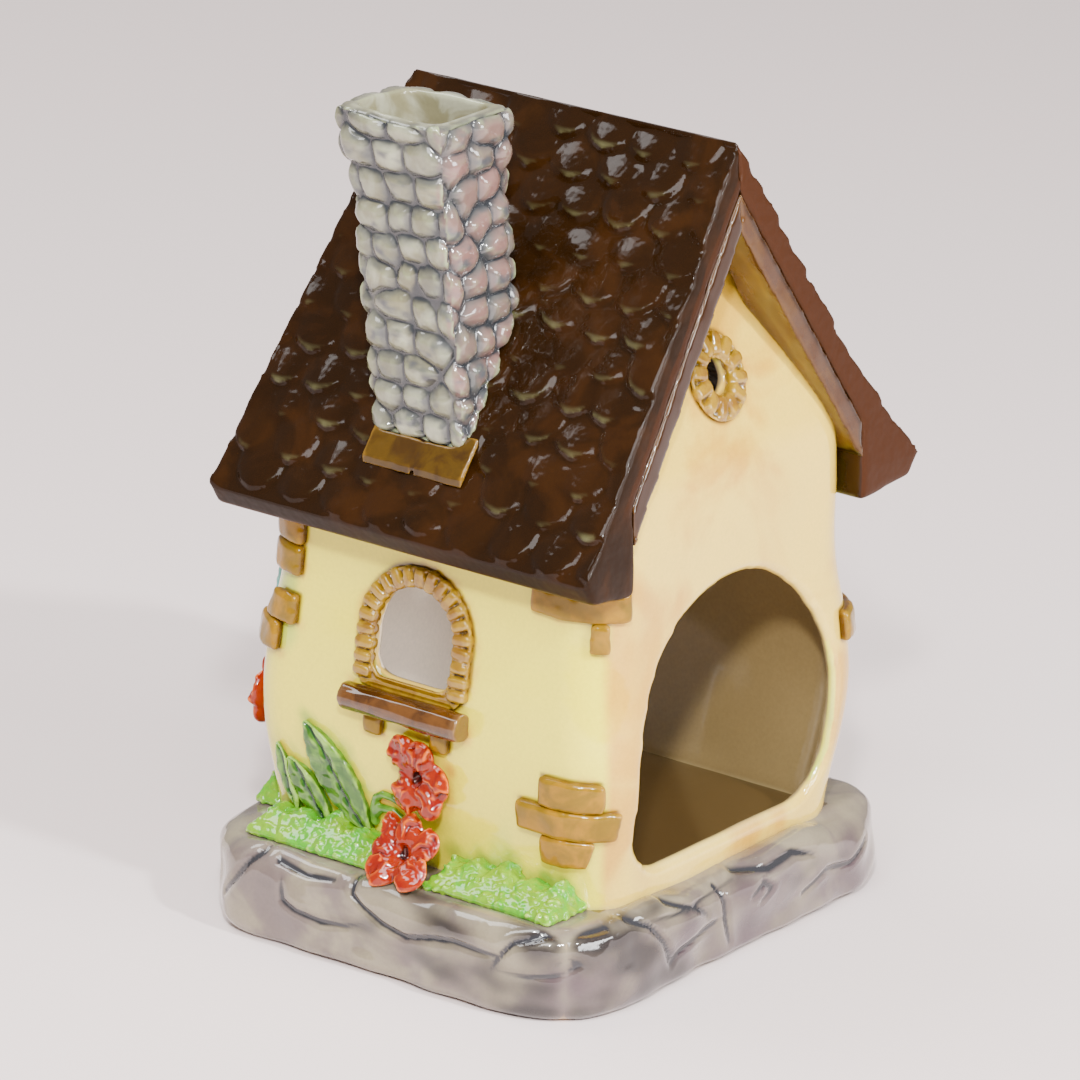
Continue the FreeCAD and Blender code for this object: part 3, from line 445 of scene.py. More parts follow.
def set_out(guides, shape, finish, size_jitter, turn_jitter, seed):
    """The plain mesh that Geometry Nodes make of a shape on guides given as (place, along, out, size)."""
    mesh = bpy.data.meshes.new("guides")
    mesh.from_pydata([guide[0] for guide in guides], [], [])
    for number, name in enumerate(("along", "out", "size"), start=1):
        layer = mesh.attributes.new(name, "FLOAT_VECTOR", "POINT")
        layer.data.foreach_set("vector", np.array([guide[number] for guide in guides], dtype=np.float32).ravel())
    holder = bpy.data.objects.new("guides", mesh)
    pattern = bpy.data.objects.new("pattern", shape)
    for item in (holder, pattern):
        bpy.context.scene.collection.objects.link(item)
    tree = bpy.data.node_groups.get("set_on_guides") or guide_tree()
    sockets = {item.name: item.identifier for item in tree.interface.items_tree if item.in_out == "INPUT"}
    repeat = holder.modifiers.new("repeat", "NODES")
    repeat.node_group = tree
    for label, value in (("Shape", pattern), ("Size Jitter", size_jitter), ("Turn Jitter", turn_jitter),
                         ("Seed", seed), ("Finish", finish)):
        repeat[sockets[label]] = value
    result = bpy.data.meshes.new_from_object(holder.evaluated_get(bpy.context.evaluated_depsgraph_get()))
    holder.modifiers.remove(repeat)
    for item in (holder, pattern):
        bpy.data.objects.remove(item)
    for spent in (mesh, shape):
        bpy.data.meshes.remove(spent)
    return result


def show(mesh, name, glaze, nodes):
    """Puts a finished piece in the scene in place of the CAD nodes that it stands for."""
    mesh.materials.clear()
    mesh.materials.append(glaze)
    for face in mesh.polygons:
        face.material_index = 0
    mesh.shade_smooth()
    mesh.name = name
    piece = bpy.data.objects.new(name, mesh)
    bpy.context.scene.collection.objects.link(piece)
    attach(piece, "root")
    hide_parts(*nodes)
    return piece


# ---------------------------------------------------------------- glazes


def glazed(name, ground, tint, pooled, thin, patch=14.0, washes=(), roughness=0.13, pooled_at=-0.22, thin_at=0.30,
           ripple=0.05, gloss=1.0):
    """Underglaze colour on white earthenware, under one clear glaze.

    The ground colour drifts into the tint in brushed patches of the given size in mm.  The pooled colour lies
    where the glaze runs together and the thin colour where it draws off an edge, from the given depth and height
    in mm.  Each wash is (attribute, colour, start, end).  Colours are hex or linear.
    """
    glaze = bpy.data.materials.new(name)
    glaze.use_nodes = True
    tree = glaze.node_tree
    tree.nodes.clear()
    place = add(tree, "ShaderNodeTexCoord").outputs["Object"]
    drift = add(tree, "ShaderNodeTexNoise", None,
                {"Vector": place, "Scale": 1000 / patch, "Detail": 3.0, "Roughness": 0.55, "Distortion": 0.8})
    rise = add(tree, "ShaderNodeAttribute", {"attribute_name": "rise"}).outputs["Fac"]
    layers = [(drift.outputs["Fac"], tint, 0.40, 0.66)]
    for attribute, wash, start, end in washes:
        mask = add(tree, "ShaderNodeAttribute", {"attribute_name": attribute}).outputs["Fac"]
        layers.append((mask, wash, start, end))
    layers += [(rise, other, edge * 0.2, edge) for edge, other in ((thin_at, thin), (pooled_at, pooled))]
    colour = linear(ground) if isinstance(ground, str) else ground
    for mask, over, start, end in layers:
        amount = add(tree, "ShaderNodeMapRange", {"interpolation_type": "SMOOTHSTEP"},
                     {"Value": mask, "From Min": start, "From Max": end})
        colour = add(tree, "ShaderNodeMix", {"data_type": "RGBA"},
                     {0: amount.outputs[0], 6: colour, 7: linear(over) if isinstance(over, str) else over}).outputs[2]
    # A brush leaves streaks a few tenths of a millimetre wide; they are drawn at 0.9 mm so that they show.
    brush = add(tree, "ShaderNodeTexNoise", None, {"Vector": place, "Scale": STREAKS, "Detail": 2.0})
    tone = add(tree, "ShaderNodeMapRange", None, {"Value": brush.outputs["Fac"], "To Min": 0.90, "To Max": 1.10})
    colour = add(tree, "ShaderNodeVectorMath", {"operation": "SCALE"}, {0: colour, "Scale": tone.outputs[0]})
    sheen = add(tree, "ShaderNodeMapRange", None,
                {"Value": drift.outputs["Fac"], "To Min": roughness * 0.6, "To Max": roughness * 1.5})
    # A fired glaze has a faint orange-peel ripple.
    peel = add(tree, "ShaderNodeTexNoise", None, {"Vector": place, "Scale": RIPPLES, "Detail": 1.0})
    bump = add(tree, "ShaderNodeBump", None, {"Strength": ripple, "Distance": 1.2 * MM, "Height": peel.outputs["Fac"]})
    # Where the glaze was wiped thin it hardly shines.
    dull = add(tree, "ShaderNodeAttribute", {"attribute_name": "dull"}).outputs["Fac"]
    coat = add(tree, "ShaderNodeMapRange", None, {"Value": dull, "To Min": 0.6 * gloss, "To Max": 0.08 * gloss})
    matt = add(tree, "ShaderNodeMath", {"operation": "MULTIPLY_ADD"}, {0: dull, 1: 0.35, 2: sheen.outputs[0]})
    surface = add(tree, "ShaderNodeBsdfPrincipled", None,
                  {"Base Color": colour.outputs[0], "Roughness": matt.outputs[0], "IOR": 1.5,
                   "Specular IOR Level": 0.45 * gloss, "Coat Weight": coat.outputs[0], "Coat Roughness": 0.03,
                   "Normal": bump.outputs[0]})
    add(tree, "ShaderNodeOutputMaterial", None, {"Surface": surface.outputs[0]})
    return glaze


# ---------------------------------------------------------------- settings


class PlinthSettings(bpy.types.PropertyGroup):
    crack_width: length_property("Crack width", "Half width of a crack carved in the rock", 0.85)
    heave: length_property("Heave", "How far the rock's faces swell in and out", 2.2)
    stone: colour_property("Stone", "Warm grey of the rock", "#857b66")
    patch: colour_property("Patch", "Darker grey of the rock's patches", "#665955")
    crack: colour_property("Crack", "Slate grey painted in the cracks", "#2a2a2e")
    edge: colour_property("Edge", "Pale grey where the glaze thins", "#a09884")


class WallSettings(bpy.types.PropertyGroup):
    wobble: length_property("Wobble", "How far the cast walls wander from true", 0.3)
    gable: colour_property("Gable", "Warm cream of the gables", "#e6c44a")
    flank: colour_property("Side wall", "Straw yellow of the side walls", "#e9db2e")
    wash: colour_property("Wash", "Ochre brushed in patches", "#d09e2c")
    halo: colour_property("Halo", "Ochre that gathers round the relief", "#c98f2a")
    # The inside is bare cream; this colour is set darker than that cream, as painted shade of the closed room.
    inside: colour_property("Inside", "Bare cream of the inside", "#87724a")


class RoofSettings(bpy.types.PropertyGroup):
    tile_width: length_property("Tile width", "Width of a fish-scale tile", 12.6)
    tile_length: length_property("Tile length", "Length of a fish-scale tile", 16.0)
    exposure: length_property("Exposure", "Length of each tile left showing", 9.4)
    tile_rise: length_property("Tile rise", "Height of a tile's tip over the slab", 1.7)
    sink: length_property("Sink", "How far the slab is lowered to carry the tiles", 0.9)
    seed: bpy.props.IntProperty(name="Seed", description="Seed of the tiles' differences", default=11)
    deep: colour_property("Deep brown", "Treacle brown of the thick glaze", "#1c0e03")
    warm: colour_property("Warm brown", "Warmer brown in patches", "#281505")
    thin: colour_property("Thin glaze", "Grey green where the glaze thins on a tip", "#5f5e40")
    verge: colour_property("Verge", "Reddish brown of the roof's ends", "#361a06")


class ChimneySettings(bpy.types.PropertyGroup):
    course: length_property("Course", "Height of a course of stones", 7.4)
    stone_length: length_property("Stone length", "Mean length of a stone", 9.4)
    joint_depth: length_property("Joint depth", "Depth of the joints", 1.0)
    stone: colour_property("Stone", "Grey green of the stones", "#7a7558")
    blush: colour_property("Blush", "Pinkish grey of the face toward the open gable", "#7c5c55")
    joint: colour_property("Joint", "Slate grey painted in the joints", "#2a2d31")
    # The flue's brown grows deeper into it: painted shade inside the flue.
    flue: colour_property("Flue", "Brown inside the flue", "#4a3a26")


class TrimSettings(bpy.types.PropertyGroup):
    brick_count: bpy.props.IntProperty(name="Bricks", description="Bricks round a side window", default=21, min=8)
    brick_width: length_property("Brick width", "Width of a brick along the ring", 2.9)
    brick_rise: length_property("Brick rise", "Height of a brick over the wall", 3.6)
    brick: colour_property("Brick", "Ochre of the bricks", "#94720f")
    joint: colour_property("Joint", "Dark olive between the bricks", "#3c2908")
    stone: colour_property("Corner stone", "Tan of the corner stones", "#765a04")
    outline: colour_property("Outline", "Brown drawn round the corner stones", "#462804")
    log: colour_property("Log", "Brown of the sills", "#3f2307")


class GardenSettings(bpy.types.PropertyGroup):
    crumb: length_property("Crumb", "Size of a crumb of grass", 1.9)
    seed: bpy.props.IntProperty(name="Seed", description="Seed of the grass", default=5)
    petal: colour_property("Petal", "Orange red of the poppies", "#861e00")
    leaf: colour_property("Leaf", "Green of the leaves", "#28560b")
    grass: colour_property("Grass", "Yellow green of the grass", "#6c9a08")
    blade: colour_property("Blade", "Strong green brushed in the grass", "#459a12")


class StageSettings(bpy.types.PropertyGroup):
    floor: colour_property("Floor", "Pale warm grey paper", "#eadbd9")
    key_power: bpy.props.FloatProperty(name="Key", description="Power of the large soft light", default=25.0, min=0)
    spark_power: bpy.props.FloatProperty(name="Spark", description="Power of the small bright lights", default=22.0,
                                         min=0)
    world: bpy.props.FloatProperty(name="World", description="Strength of the even light", default=0.52, min=0)


# ---------------------------------------------------------------- pieces


class COTTAGE_OT_lay_plinth(bpy.types.Operator):
    """Carves the rocky plinth"""
    bl_idname = "cottage.lay_plinth"
    bl_label = "Lay the plinth"

    def execute(self, context):
        given = context.scene.cottage_plinth
        mesh = cast(("base_plinth",), "plinth", 2)
        points, normals = points_of(mesh), normals_of(mesh)
        low, high = (np.array(corner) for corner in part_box("base_plinth"))
        within = np.minimum(points - low, high - points)[:, :2].min(axis=1)
        outer = step(9.0 * MM, 5.0 * MM, within)
        outer *= step(-0.25, 0.1, outwardness(normals, points[:, :2]) + np.maximum(normals[:, 2], 0))
        free = step(0.5 * MM, 4.0 * MM, points[:, 2])
        swell = cloud(points * (1, 1, 1.3), 24, 3) * given.heave * outer * (0.55 + 0.45 * free)
        crack = np.zeros(len(points))
        for axis, lines in ((0, SIDE_CRACKS), (1, GABLE_CRACKS)):
            for sign in (-1, 1):
                facing = step(0.1, 0.6, sign * normals[:, axis] + 0.9 * np.maximum(normals[:, 2], 0))
                facing = facing * (points[:, axis] * sign > 0.72 * high[axis])
                along = points[:, 1 - axis] * (1 if sign < 0 else -1)
                depth, gap = carve(along / MM, points[:, 2] / MM, lines)
                width = given.crack_width / MM
                # Each crack is a groove with a low lip along either side.
                score = np.exp(-(gap / width) ** 2)
                lip = np.exp(-((gap - 2.1 * width) / width) ** 2)
                swell += facing * outer * depth * MM * (0.14 * lip - 0.85 * score)
                crack = np.maximum(crack, facing * outer * score * np.minimum(depth, 1))
        push(mesh, swell)
        points = points_of(mesh)
        points[:, 2] = np.maximum(points[:, 2], 0)
        put_points(mesh, points)
        write_values(mesh, crack=crack)
        write_values(mesh, under=step(6.5 * MM, 9.0 * MM, within) * (normals[:, 2] < 0.5))
        # The floor inside is glazed like the room, in a dark brown that is painted shade of the closed room, and the
        # rock is darker toward the near corner and the gable.
        feet = np.abs(np.concatenate([points_of(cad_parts[name].data) for name in WALLS]))
        feet = feet[feet[:, 2] < high[2] + 0.5 * MM].max(axis=0)
        room = np.minimum(feet[0] - np.abs(points[:, 0]), feet[1] - np.abs(points[:, 1]))
        write_values(mesh, floor=step(2.0 * MM, 3.5 * MM, room) * (normals[:, 2] > 0.2))
        corner = step(75 * MM, 25 * MM, np.linalg.norm(points[:, :2] - low[:2], axis=1))
        gable = step(0.2, 0.7, -normals[:, 1]) * outer * step(high[2] + 2 * MM, high[2] - 6 * MM, points[:, 2])
        write_values(mesh, shade=gable * (0.65 + 0.5 * cloud(points, 14, 21)),
                     dusk=outer * (0.45 * corner + 0.55 * cloud(points * (1, 1, 2), 17, 14)))
        feel(mesh, 20)
        # Hand-brushed grey underglaze on a moulded rock: cloudy, with slate lines and a pale bloom on the edges.
        # The floor inside is darkened with painted shade.
        glaze = glazed("brushed_grey_underglaze_rock", given.stone, given.patch, given.crack, given.edge, 22.0,
                       (("shade", "#4a3a40", 0.1, 1.1), ("dusk", "#2c2726", 0.12, 0.72),
                        ("crack", given.crack, 0.25, 0.8), ("under", "#b29468", 0.2, 0.8),
                        ("floor", "#4c3a1e", 0.2, 0.8)), 0.10, -0.6, 1.5)
        show(mesh, "plinth", glaze, ("base_plinth",))
        return {"FINISHED"}


class COTTAGE_OT_raise_walls(bpy.types.Operator):
    """Casts the four walls as one shell"""
    bl_idname = "cottage.raise_walls"
    bl_label = "Raise the walls"

    def execute(self, context):
        given = context.scene.cottage_walls
        mesh = cast(WALLS, "walls")
        points = calmed(mesh, 8)
        level = eased(mesh, points, 14)
        edge = np.abs(np.einsum("ij,ij->i", points - level, normals_of(mesh))) / MM
        # The rims of the openings are sponged round.
        points += (level - points) * step(0.10, 0.45, edge)[:, None] * 0.85
        # Their foot is bedded in the plinth's top.
        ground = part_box("base_plinth")[1].z
        points[:, 2] -= step(ground + 3 * MM, ground + 1 * MM, points[:, 2]) * FOOT_BEDDING * MM
        put_points(mesh, points)
        roughen(mesh, 24, 5, given.wobble)
        points, normals = points_of(mesh), normals_of(mesh)
        level = np.clip((points[:, 2] / (3 * MM)).astype(int), 0, None)
        sizes = np.abs(points[:, :2])
        depth = np.min([furthest(level, sizes[:, axis])[level] - sizes[:, axis] for axis in (0, 1)], axis=0)
        inside = step(1.6 * MM, 2.6 * MM, depth) * step(0.45, 0.2, outwardness(normals, points[:, :2]))
        room_shade_mask = eased(mesh, np.repeat(inside[:, None], 3, axis=1), 3)[:, 0]
        side_facing, lumps = np.abs(normals[:, 0]), cloud(points, 26, 12)
        relief = STONES + RINGS + SILLS + CORBELS + LEAVES + (VENT, "upper_poppy", STEM_NODE)
        # Inside, the bare cream is darkened with painted shade, and the inner face of the door gable is brightened
        # with painted light where light falls through the doorway.
        write_values(
            mesh, inside=room_shade_mask, lit=inside * step(-0.4, -0.8, normals[:, 1]),
            flank=step(0.45, 0.8, side_facing) * (np.abs(points[:, 0]) > 38 * MM),
            moss=step(0.1, 0.7, lumps) * step(0.3, 0.8, side_facing),
            # Ochre gathers round all relief, a thin brown line is drawn round the stones, and green spreads from the
            # grass.
            halo=near(points, relief, 5) * (0.6 + 0.5 * cloud(points, 7, 9)),
            drawn=near(points, STONES + CORBELS + RINGS + (VENT,), 1.7),
            turf=near(points, GRASSES + LEAVES, 7) * (0.7 + 0.6 * cloud(points, 6, 19)))
        feel(mesh)
        # Cream and straw underglaze on a cast wall, brushed thin, so that patches of ochre gather round the relief.
        # Inside, painted shade darkens the cream and painted light brightens the inner face of the door gable.
        glaze = glazed("cream_and_straw_underglaze_plaster", given.gable, given.wash, given.halo, "#f6e3a8", 34.0,
                       (("flank", given.flank, 0.1, 0.9), ("halo", given.halo, 0.25, 1.15),
                        ("moss", "#b4c640", 0.3, 1.2), ("turf", "#8fa828", 0.2, 1.2), ("drawn", "#6a4a12", 0.2, 1.0),
                        ("inside", given.inside, 0.3, 0.8), ("lit", "#fbe8d2", 0.3, 0.8)), 0.12, -0.9, 0.9)
        show(mesh, "cottage_walls", glaze, WALLS)
        return {"FINISHED"}


def slope_profile(name, side):
    """The outer surface of a roof slope as (distance from the ridge, height), from the ridge down."""
    tree = cad_tree(name)
    low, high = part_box(name)
    profile = []
    for height in np.linspace(high.z - 0.5 * MM, low.z, 160):
        hit = tree.ray_cast(Vector((side * 0.2, 0.8 * high.y, height)), Vector((-side, 0, 0)))[0]
        if hit is not None and (not profile or abs(hit.x) > profile[-1][0]):
            profile.append((abs(hit.x), height))
    return np.array(profile)


def shingle(width, length, rise):
    """A fish-scale tile: thin and sunk at its head, thick and domed at its round tip, which is its origin."""
    across = np.linspace(-1, 1, 7)
    tile = bmesh.new()
    rings = []
    for share in (0.0, 0.3, 0.52, 0.68, 0.80, 0.90, 0.96, 1.0):
        down = (share - 1) * length
        half = width / 2 * math.sqrt(max(1 - max((down + width * 0.55) / (width * 0.55), 0) ** 2, 0.03))
        crown = -0.5 * MM + (rise + 0.5 * MM) * share ** 0.8 - 0.35 * rise * max(share - 0.93, 0) / 0.07
        ring = [(half * place, down, crown - 0.42 * rise * place ** 2) for place in across]
        ring += [(half, down, TILE_UNDERSIDE * MM), (-half, down, TILE_UNDERSIDE * MM)]
        rings.append([tile.verts.new(point) for point in ring])
    for upper, lower in zip(rings, rings[1:]):
        for place in range(len(upper)):
            after = (place + 1) % len(upper)
            tile.faces.new((upper[place], lower[place], lower[after], upper[after]))
    tile.faces.new(rings[0])
    tile.faces.new(reversed(rings[-1]))
    bmesh.ops.recalc_face_normals(tile, faces=tile.faces)
    return mesh_of(tile, "shingle")


def flue_axis():
    """Two points on the middle line of the leaning chimney, both where its shaft stands clear of the roof."""
    points = points_of(recast(node_copy("chimney_stack"), "chimney_line"))
    low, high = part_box("chimney_stack")
    knots = []
    for share in (0.55, 0.75):
        height = low.z + share * (high.z - low.z)
        ring = points[np.abs(points[:, 2] - height) < MM]
        knots.append(np.append((ring[:, :2].min(0) + ring[:, :2].max(0)) / 2, height))
    return knots


def flue_offset(points, axis):
    """How far points lie from the chimney's leaning middle line, across and along the ridge."""
    lower, upper = axis
    share = (points[:, 2] - lower[2]) / (upper[2] - lower[2])
    return points[:, :2] - (lower[:2] + share[:, None] * (upper[:2] - lower[:2]))


def tile_guides(profile, side, given):
    """Guides for staggered courses of tiles down one slope, each slipped a little out of line."""
    reach = np.append(0, np.cumsum(np.linalg.norm(np.diff(profile, axis=0), axis=1)))
    rng = np.random.default_rng(given.seed + side)
    guides = []
    for row in range(int(reach[-1] / given.exposure) + 1):
        down = min((row + 0.85) * given.exposure, reach[-1] + 0.2 * MM)
        place = np.array([np.interp(down, reach, profile[:, axis]) for axis in (0, 1)])
        ahead = np.array([np.interp(down - 9 * MM, reach, profile[:, axis]) for axis in (0, 1)])
        fall = (place - ahead) / np.linalg.norm(place - ahead)
        along = (side * fall[0], 0, fall[1])
        out = (-side * fall[1], 0, fall[0])
        for column in TILE_COLUMNS:
            spot = (column + 0.5 * (row % 2)) * given.tile_width + rng.uniform(-0.8, 0.8) * MM
            slip = rng.uniform(-1.0, 0.8) * MM
            centre = np.array((side * place[0], spot, place[1])) + np.array(along) * slip - np.array(out) * given.sink
            guides.append((centre, along, out, (1.04, 1.0, rng.uniform(0.75, 1.15))))
    return guides


def clear_flue(points, count, pitch):
    """Keeps the points of a number of like tiles, on a slope of the given pitch, out of the flue."""
    own = np.arange(len(points)) // (len(points) // count)
    line = flue_axis()
    offset = flue_offset(points, line)
    middles = np.stack([np.bincount(own, offset[:, axis]) / np.bincount(own) for axis in (0, 1)], axis=1)
    inner = np.array(FLUE_HALVES) * MM
    # A tile that reaches into the flue is pressed back into the chimney's wall, on its own side of it.
    nearest = np.argmax(np.abs(middles) / inner, axis=1)[own]
    within = (np.abs(offset) < inner).all(axis=1)
    for axis, rise in ((0, pitch), (1, 0)):
        moved = within & (nearest == axis)
        shift = (np.sign(middles[own, axis]) * inner[axis] - offset[:, axis])[moved]
        points[moved, axis] += shift
        points[moved, 2] += shift * rise
    # A tile that would lie wholly in the flue is left out, shrunk to a point inside the chimney's wall.
    lost = (np.abs(middles) < inner * 0.9).all(axis=1)
    points[lost[own]] = line[0] + (0, inner[1] + 2 * MM, 0)


class COTTAGE_OT_lay_roof(bpy.types.Operator):
    """Lays the fish-scale roof on its two slopes"""
    bl_idname = "cottage.lay_roof"
    bl_label = "Lay the roof"

    def execute(self, context):
        given = context.scene.cottage_roof
        # Thick brown lead glaze over carved scales: almost black where it pools, and grey green on the tips.
        glaze = glazed("treacle_brown_glazed_shingles", given.deep, given.warm, "#150b02", given.thin, 17.0,
                       (("verge", given.verge, 0.2, 0.8), ("seam", "#38200f", 0.55, 0.95)), 0.09, -0.30, 0.34,
                       ripple=0.17, gloss=0.25)
        for side, name in ((-1, "chimney_side_roof"), (1, "plain_side_roof")):
            slab = recast(node_copy(name), "slab")
            points, normals = points_of(slab), normals_of(slab)
            sunk = step(0.25, 0.5, side * normals[:, 0]) * step(-0.1, 0.2, normals[:, 2])
            put_points(slab, points - normals * (sunk * given.sink)[:, None])
            profile = slope_profile(name, side)
            (start, ridge), (stop, eave) = profile[0], profile[-1]
            guides = tile_guides(profile, side, given)
            tiles = set_out(guides, shingle(given.tile_width, given.tile_length, given.tile_rise), glaze, 0.05, 0.06,
                            given.seed)
            points = points_of(tiles)
            cad = points_of(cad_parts[name].data)
            ridge_half = np.abs(cad[cad[:, 2] > cad[:, 2].max() - MM][:, 1]).max()
            spread = np.abs(cad[:, 1]).max() - ridge_half
            limit = ridge_half + spread * np.clip((ridge - points[:, 2]) / (ridge - eave), -0.1, 1)
            points[:, 1] = np.clip(points[:, 1], -limit, limit)
            points[:, 0] = np.where(points[:, 0] * side < 0.05 * MM, side * 0.05 * MM, points[:, 0])
            if side < 0:
                clear_flue(points, len(guides), (ridge - eave) / (stop - start))
            put_points(tiles, points)
            mesh = recast(join(slab, tiles), "shingles")
            soften(mesh, 2)
            points, normals = points_of(mesh), normals_of(mesh)
            end = step(0.35, 0.7, np.abs(normals[:, 1])) * step(0.80, 0.9, np.abs(points[:, 1]) / ridge_half)
            under = step(-0.5, -0.75, normals[:, 2])
            if side < 0:
                # The dark glaze runs over the upper part of the near verge.
                drop = np.interp(np.abs(points[:, 0]), profile[:, 0], profile[:, 1]) - points[:, 2]
                end *= step(5.0 * MM, 7.0 * MM, drop + cloud(points, 9, 4) * 0.9 * MM)
                end *= 0.55 * step(eave, eave + 22 * MM, points[:, 2])
            # The eave's face and the slope's ends are wiped thin.
            face = step(0.3, 0.6, side * normals[:, 0]) * step(0.1, -0.2, normals[:, 2])
            write_values(mesh, verge=np.maximum(end, under), seam=near(points, VERGE_BOARDS, 2.2) * end,
                         dull=np.maximum(face, step(0.4, 0.75, np.abs(normals[:, 1]))))
            # Along the slope's edges the glaze neither thins nor pools.
            across = np.abs(points[:, 0])
            fallen = np.clip((ridge - points[:, 2]) / (ridge - eave), 0, 1)
            margin = ridge_half + spread * fallen - np.abs(points[:, 1])
            margin = np.minimum(margin, np.minimum(across, profile[:, 0].max() - across))
            feel(mesh, 10, step(0.8 * MM, 3.2 * MM, margin))
            show(mesh, name.replace("_roof", "_shingles"), glaze, (name,))
        return {"FINISHED"}


def round_the_shaft(offset, half):
    """The share of the way round the chimney, from the door corner of its outer face."""
    a, b = half.T
    shares = np.abs(offset) / half
    on_x_faces = np.where(offset[:, 0] < 0, b - offset[:, 1], 3 * b + 2 * a + offset[:, 1])
    on_y_faces = np.where(offset[:, 1] < 0, 2 * b + a + offset[:, 0], 4 * b + 3 * a - offset[:, 0])
    return np.where(shares[:, 0] > shares[:, 1], on_x_faces, on_y_faces) / (4 * (a + b))


class COTTAGE_OT_build_chimney(bpy.types.Operator):
    """Builds the cobbled chimney and its apron tiles"""
    bl_idname = "cottage.build_chimney"
    bl_label = "Build the chimney"

    def execute(self, context):
        given = context.scene.cottage_chimney
        mesh = cast(("chimney_stack",), "chimney")
        points, normals = points_of(mesh), normals_of(mesh)
        offset = flue_offset(points, flue_axis())
        level = np.clip(((points[:, 2] - points[:, 2].min()) / (2 * MM)).astype(int), 0, None)
        halves = np.stack([furthest(level, np.abs(offset[:, axis])) for axis in (0, 1)], axis=1)
        # Low down, the roof cuts the chimney away on one side, and its half width is that of the shaft above.
        halves[:, 0] = np.maximum(halves[:, 0], np.median(halves[:, 0]) * 0.97)
        half = halves[level]
        shares = np.abs(offset) / half
        outer = step(0.75, 0.86, shares.max(axis=1)) * step(-0.3, 0.25, outwardness(normals, offset))
        around = round_the_shaft(offset, half)
        girth = (4 * half.sum(axis=1)).mean()
        # Cobbles are the cells round jittered seeds, set in staggered courses.
        rng = np.random.default_rng(7)
        columns = round(girth / given.stone_length)
        pitch = girth / columns
        lower = points[:, 2] - points[:, 2].max()
        courses = int(-lower.min() / given.course) + 2
        seeds = np.array([((column + 0.5 * (row % 2) + rng.uniform(-STRAY[0], STRAY[0])) * pitch,
                           -(row + 0.5 + rng.uniform(-STRAY[1], STRAY[1])) * given.course)
                          for row in range(-1, courses) for column in range(-1, columns + 2)])
        run = around * columns * pitch + cloud(points, 8, 6) * 0.5 * MM
        # Distances use a rounded square, so that cobbles are blocky.
        apart = ((np.abs(run[:, None] - seeds[None, :, 0]) / 1.12) ** 4
                 + np.abs(lower[:, None] - seeds[None, :, 1]) ** 4) ** 0.25
        closest = np.sort(np.partition(apart, 2, axis=1)[:, :3], axis=1)
        gap, meeting = ((closest[:, place] - closest[:, 0]) / 2 / MM for place in (1, 2))
        # Where three stones meet the joint widens, so that every stone keeps round corners.
        joint = np.maximum(np.exp(-(gap / 0.5) ** 2), np.exp(-(meeting / 1.25) ** 2)) * outer
        gap = np.minimum(gap, meeting * 0.8)
        pillow = step(0.0, 2.4, gap) * 0.95 * MM
        push(mesh, (pillow - joint * given.joint_depth - 0.35 * MM) * outer
             + cloud(points, 7, 8) * 0.3 * MM * outer)
        points = points_of(mesh)
        rim = step(points[:, 2].max() - 5 * MM, points[:, 2].max() - MM, points[:, 2])
        points[:, 2] += rim * (cloud(points * (1, 1, 0), 13, 2, 1) - 0.3) * 1.1 * MM
        points[:, 2] = np.minimum(points[:, 2], CAD_BOX[1][2] + 0.6 * MM)
        put_points(mesh, points)
        below = points[:, 2].max() - points[:, 2]
        # Each cobble has its own tone, the joints are dark and smoky with painted shade spread round them, and the
        # flue is brown below its rim, with painted shade deepening further in.
        write_values(
            mesh, joint=joint * (0.75 + 0.45 * cloud(points, 11, 9)),
            smoke=outer * cloud(points * (1, 1, 1.6), 7, 15, 3),
            tone=outer * rng.uniform(0, 1, len(seeds))[apart.argmin(axis=1)],
            shade=np.exp(-(gap / 1.7) ** 2) * outer * (0.75 + 0.6 * cloud(points, 9, 3)),
            # Brown growing with depth below the rim is painted shade inside the flue.
            flue=step(0.80, 0.72, shares.max(axis=1)) * step(3 * MM, 16 * MM, below),
            blush=step(0.2, 0.7, -normals[:, 1]) * outer)
        feel(mesh, 12)
        # Grey-green and pinkish underglaze over moulded cobbles, with slate brushed along the joints.
        # Painted shade darkens the stones along their joints and the flue deeper in.
        glaze = glazed("grey_cobble_underglaze", given.stone, "#9c9b84", given.joint, "#878e6a", 11.0,
                       (("blush", given.blush, 0.1, 0.9), ("tone", "#5a594e", 0.1, 1.6),
                        ("smoke", "#4a4b4e", 0.0, 0.8),
                        ("shade", "#4c4e4c", 0.05, 1.15),
                        ("joint", given.joint, 0.2, 0.85),
                        ("flue", given.flue, 0.1, 0.9)), 0.12, -0.55, 0.55)
        show(mesh, "cobbled_chimney", glaze, ("chimney_stack",))
        trim = context.scene.cottage_trim
        tiles = cast(("chimney_apron_tiles",), "apron", 2)
        roughen(tiles, 5, 3, 0.2 * MM)
        feel(tiles)
        # Ochre underglaze tiles with brown run into their edges.
        glaze = glazed("ochre_apron_tile_glaze", "#443008", "#342106", trim.joint, "#6c4e14", 8.0,
                       gloss=0.5)
        show(tiles, "apron_tiles", glaze, ("chimney_apron_tiles",))
        return {"FINISHED"}


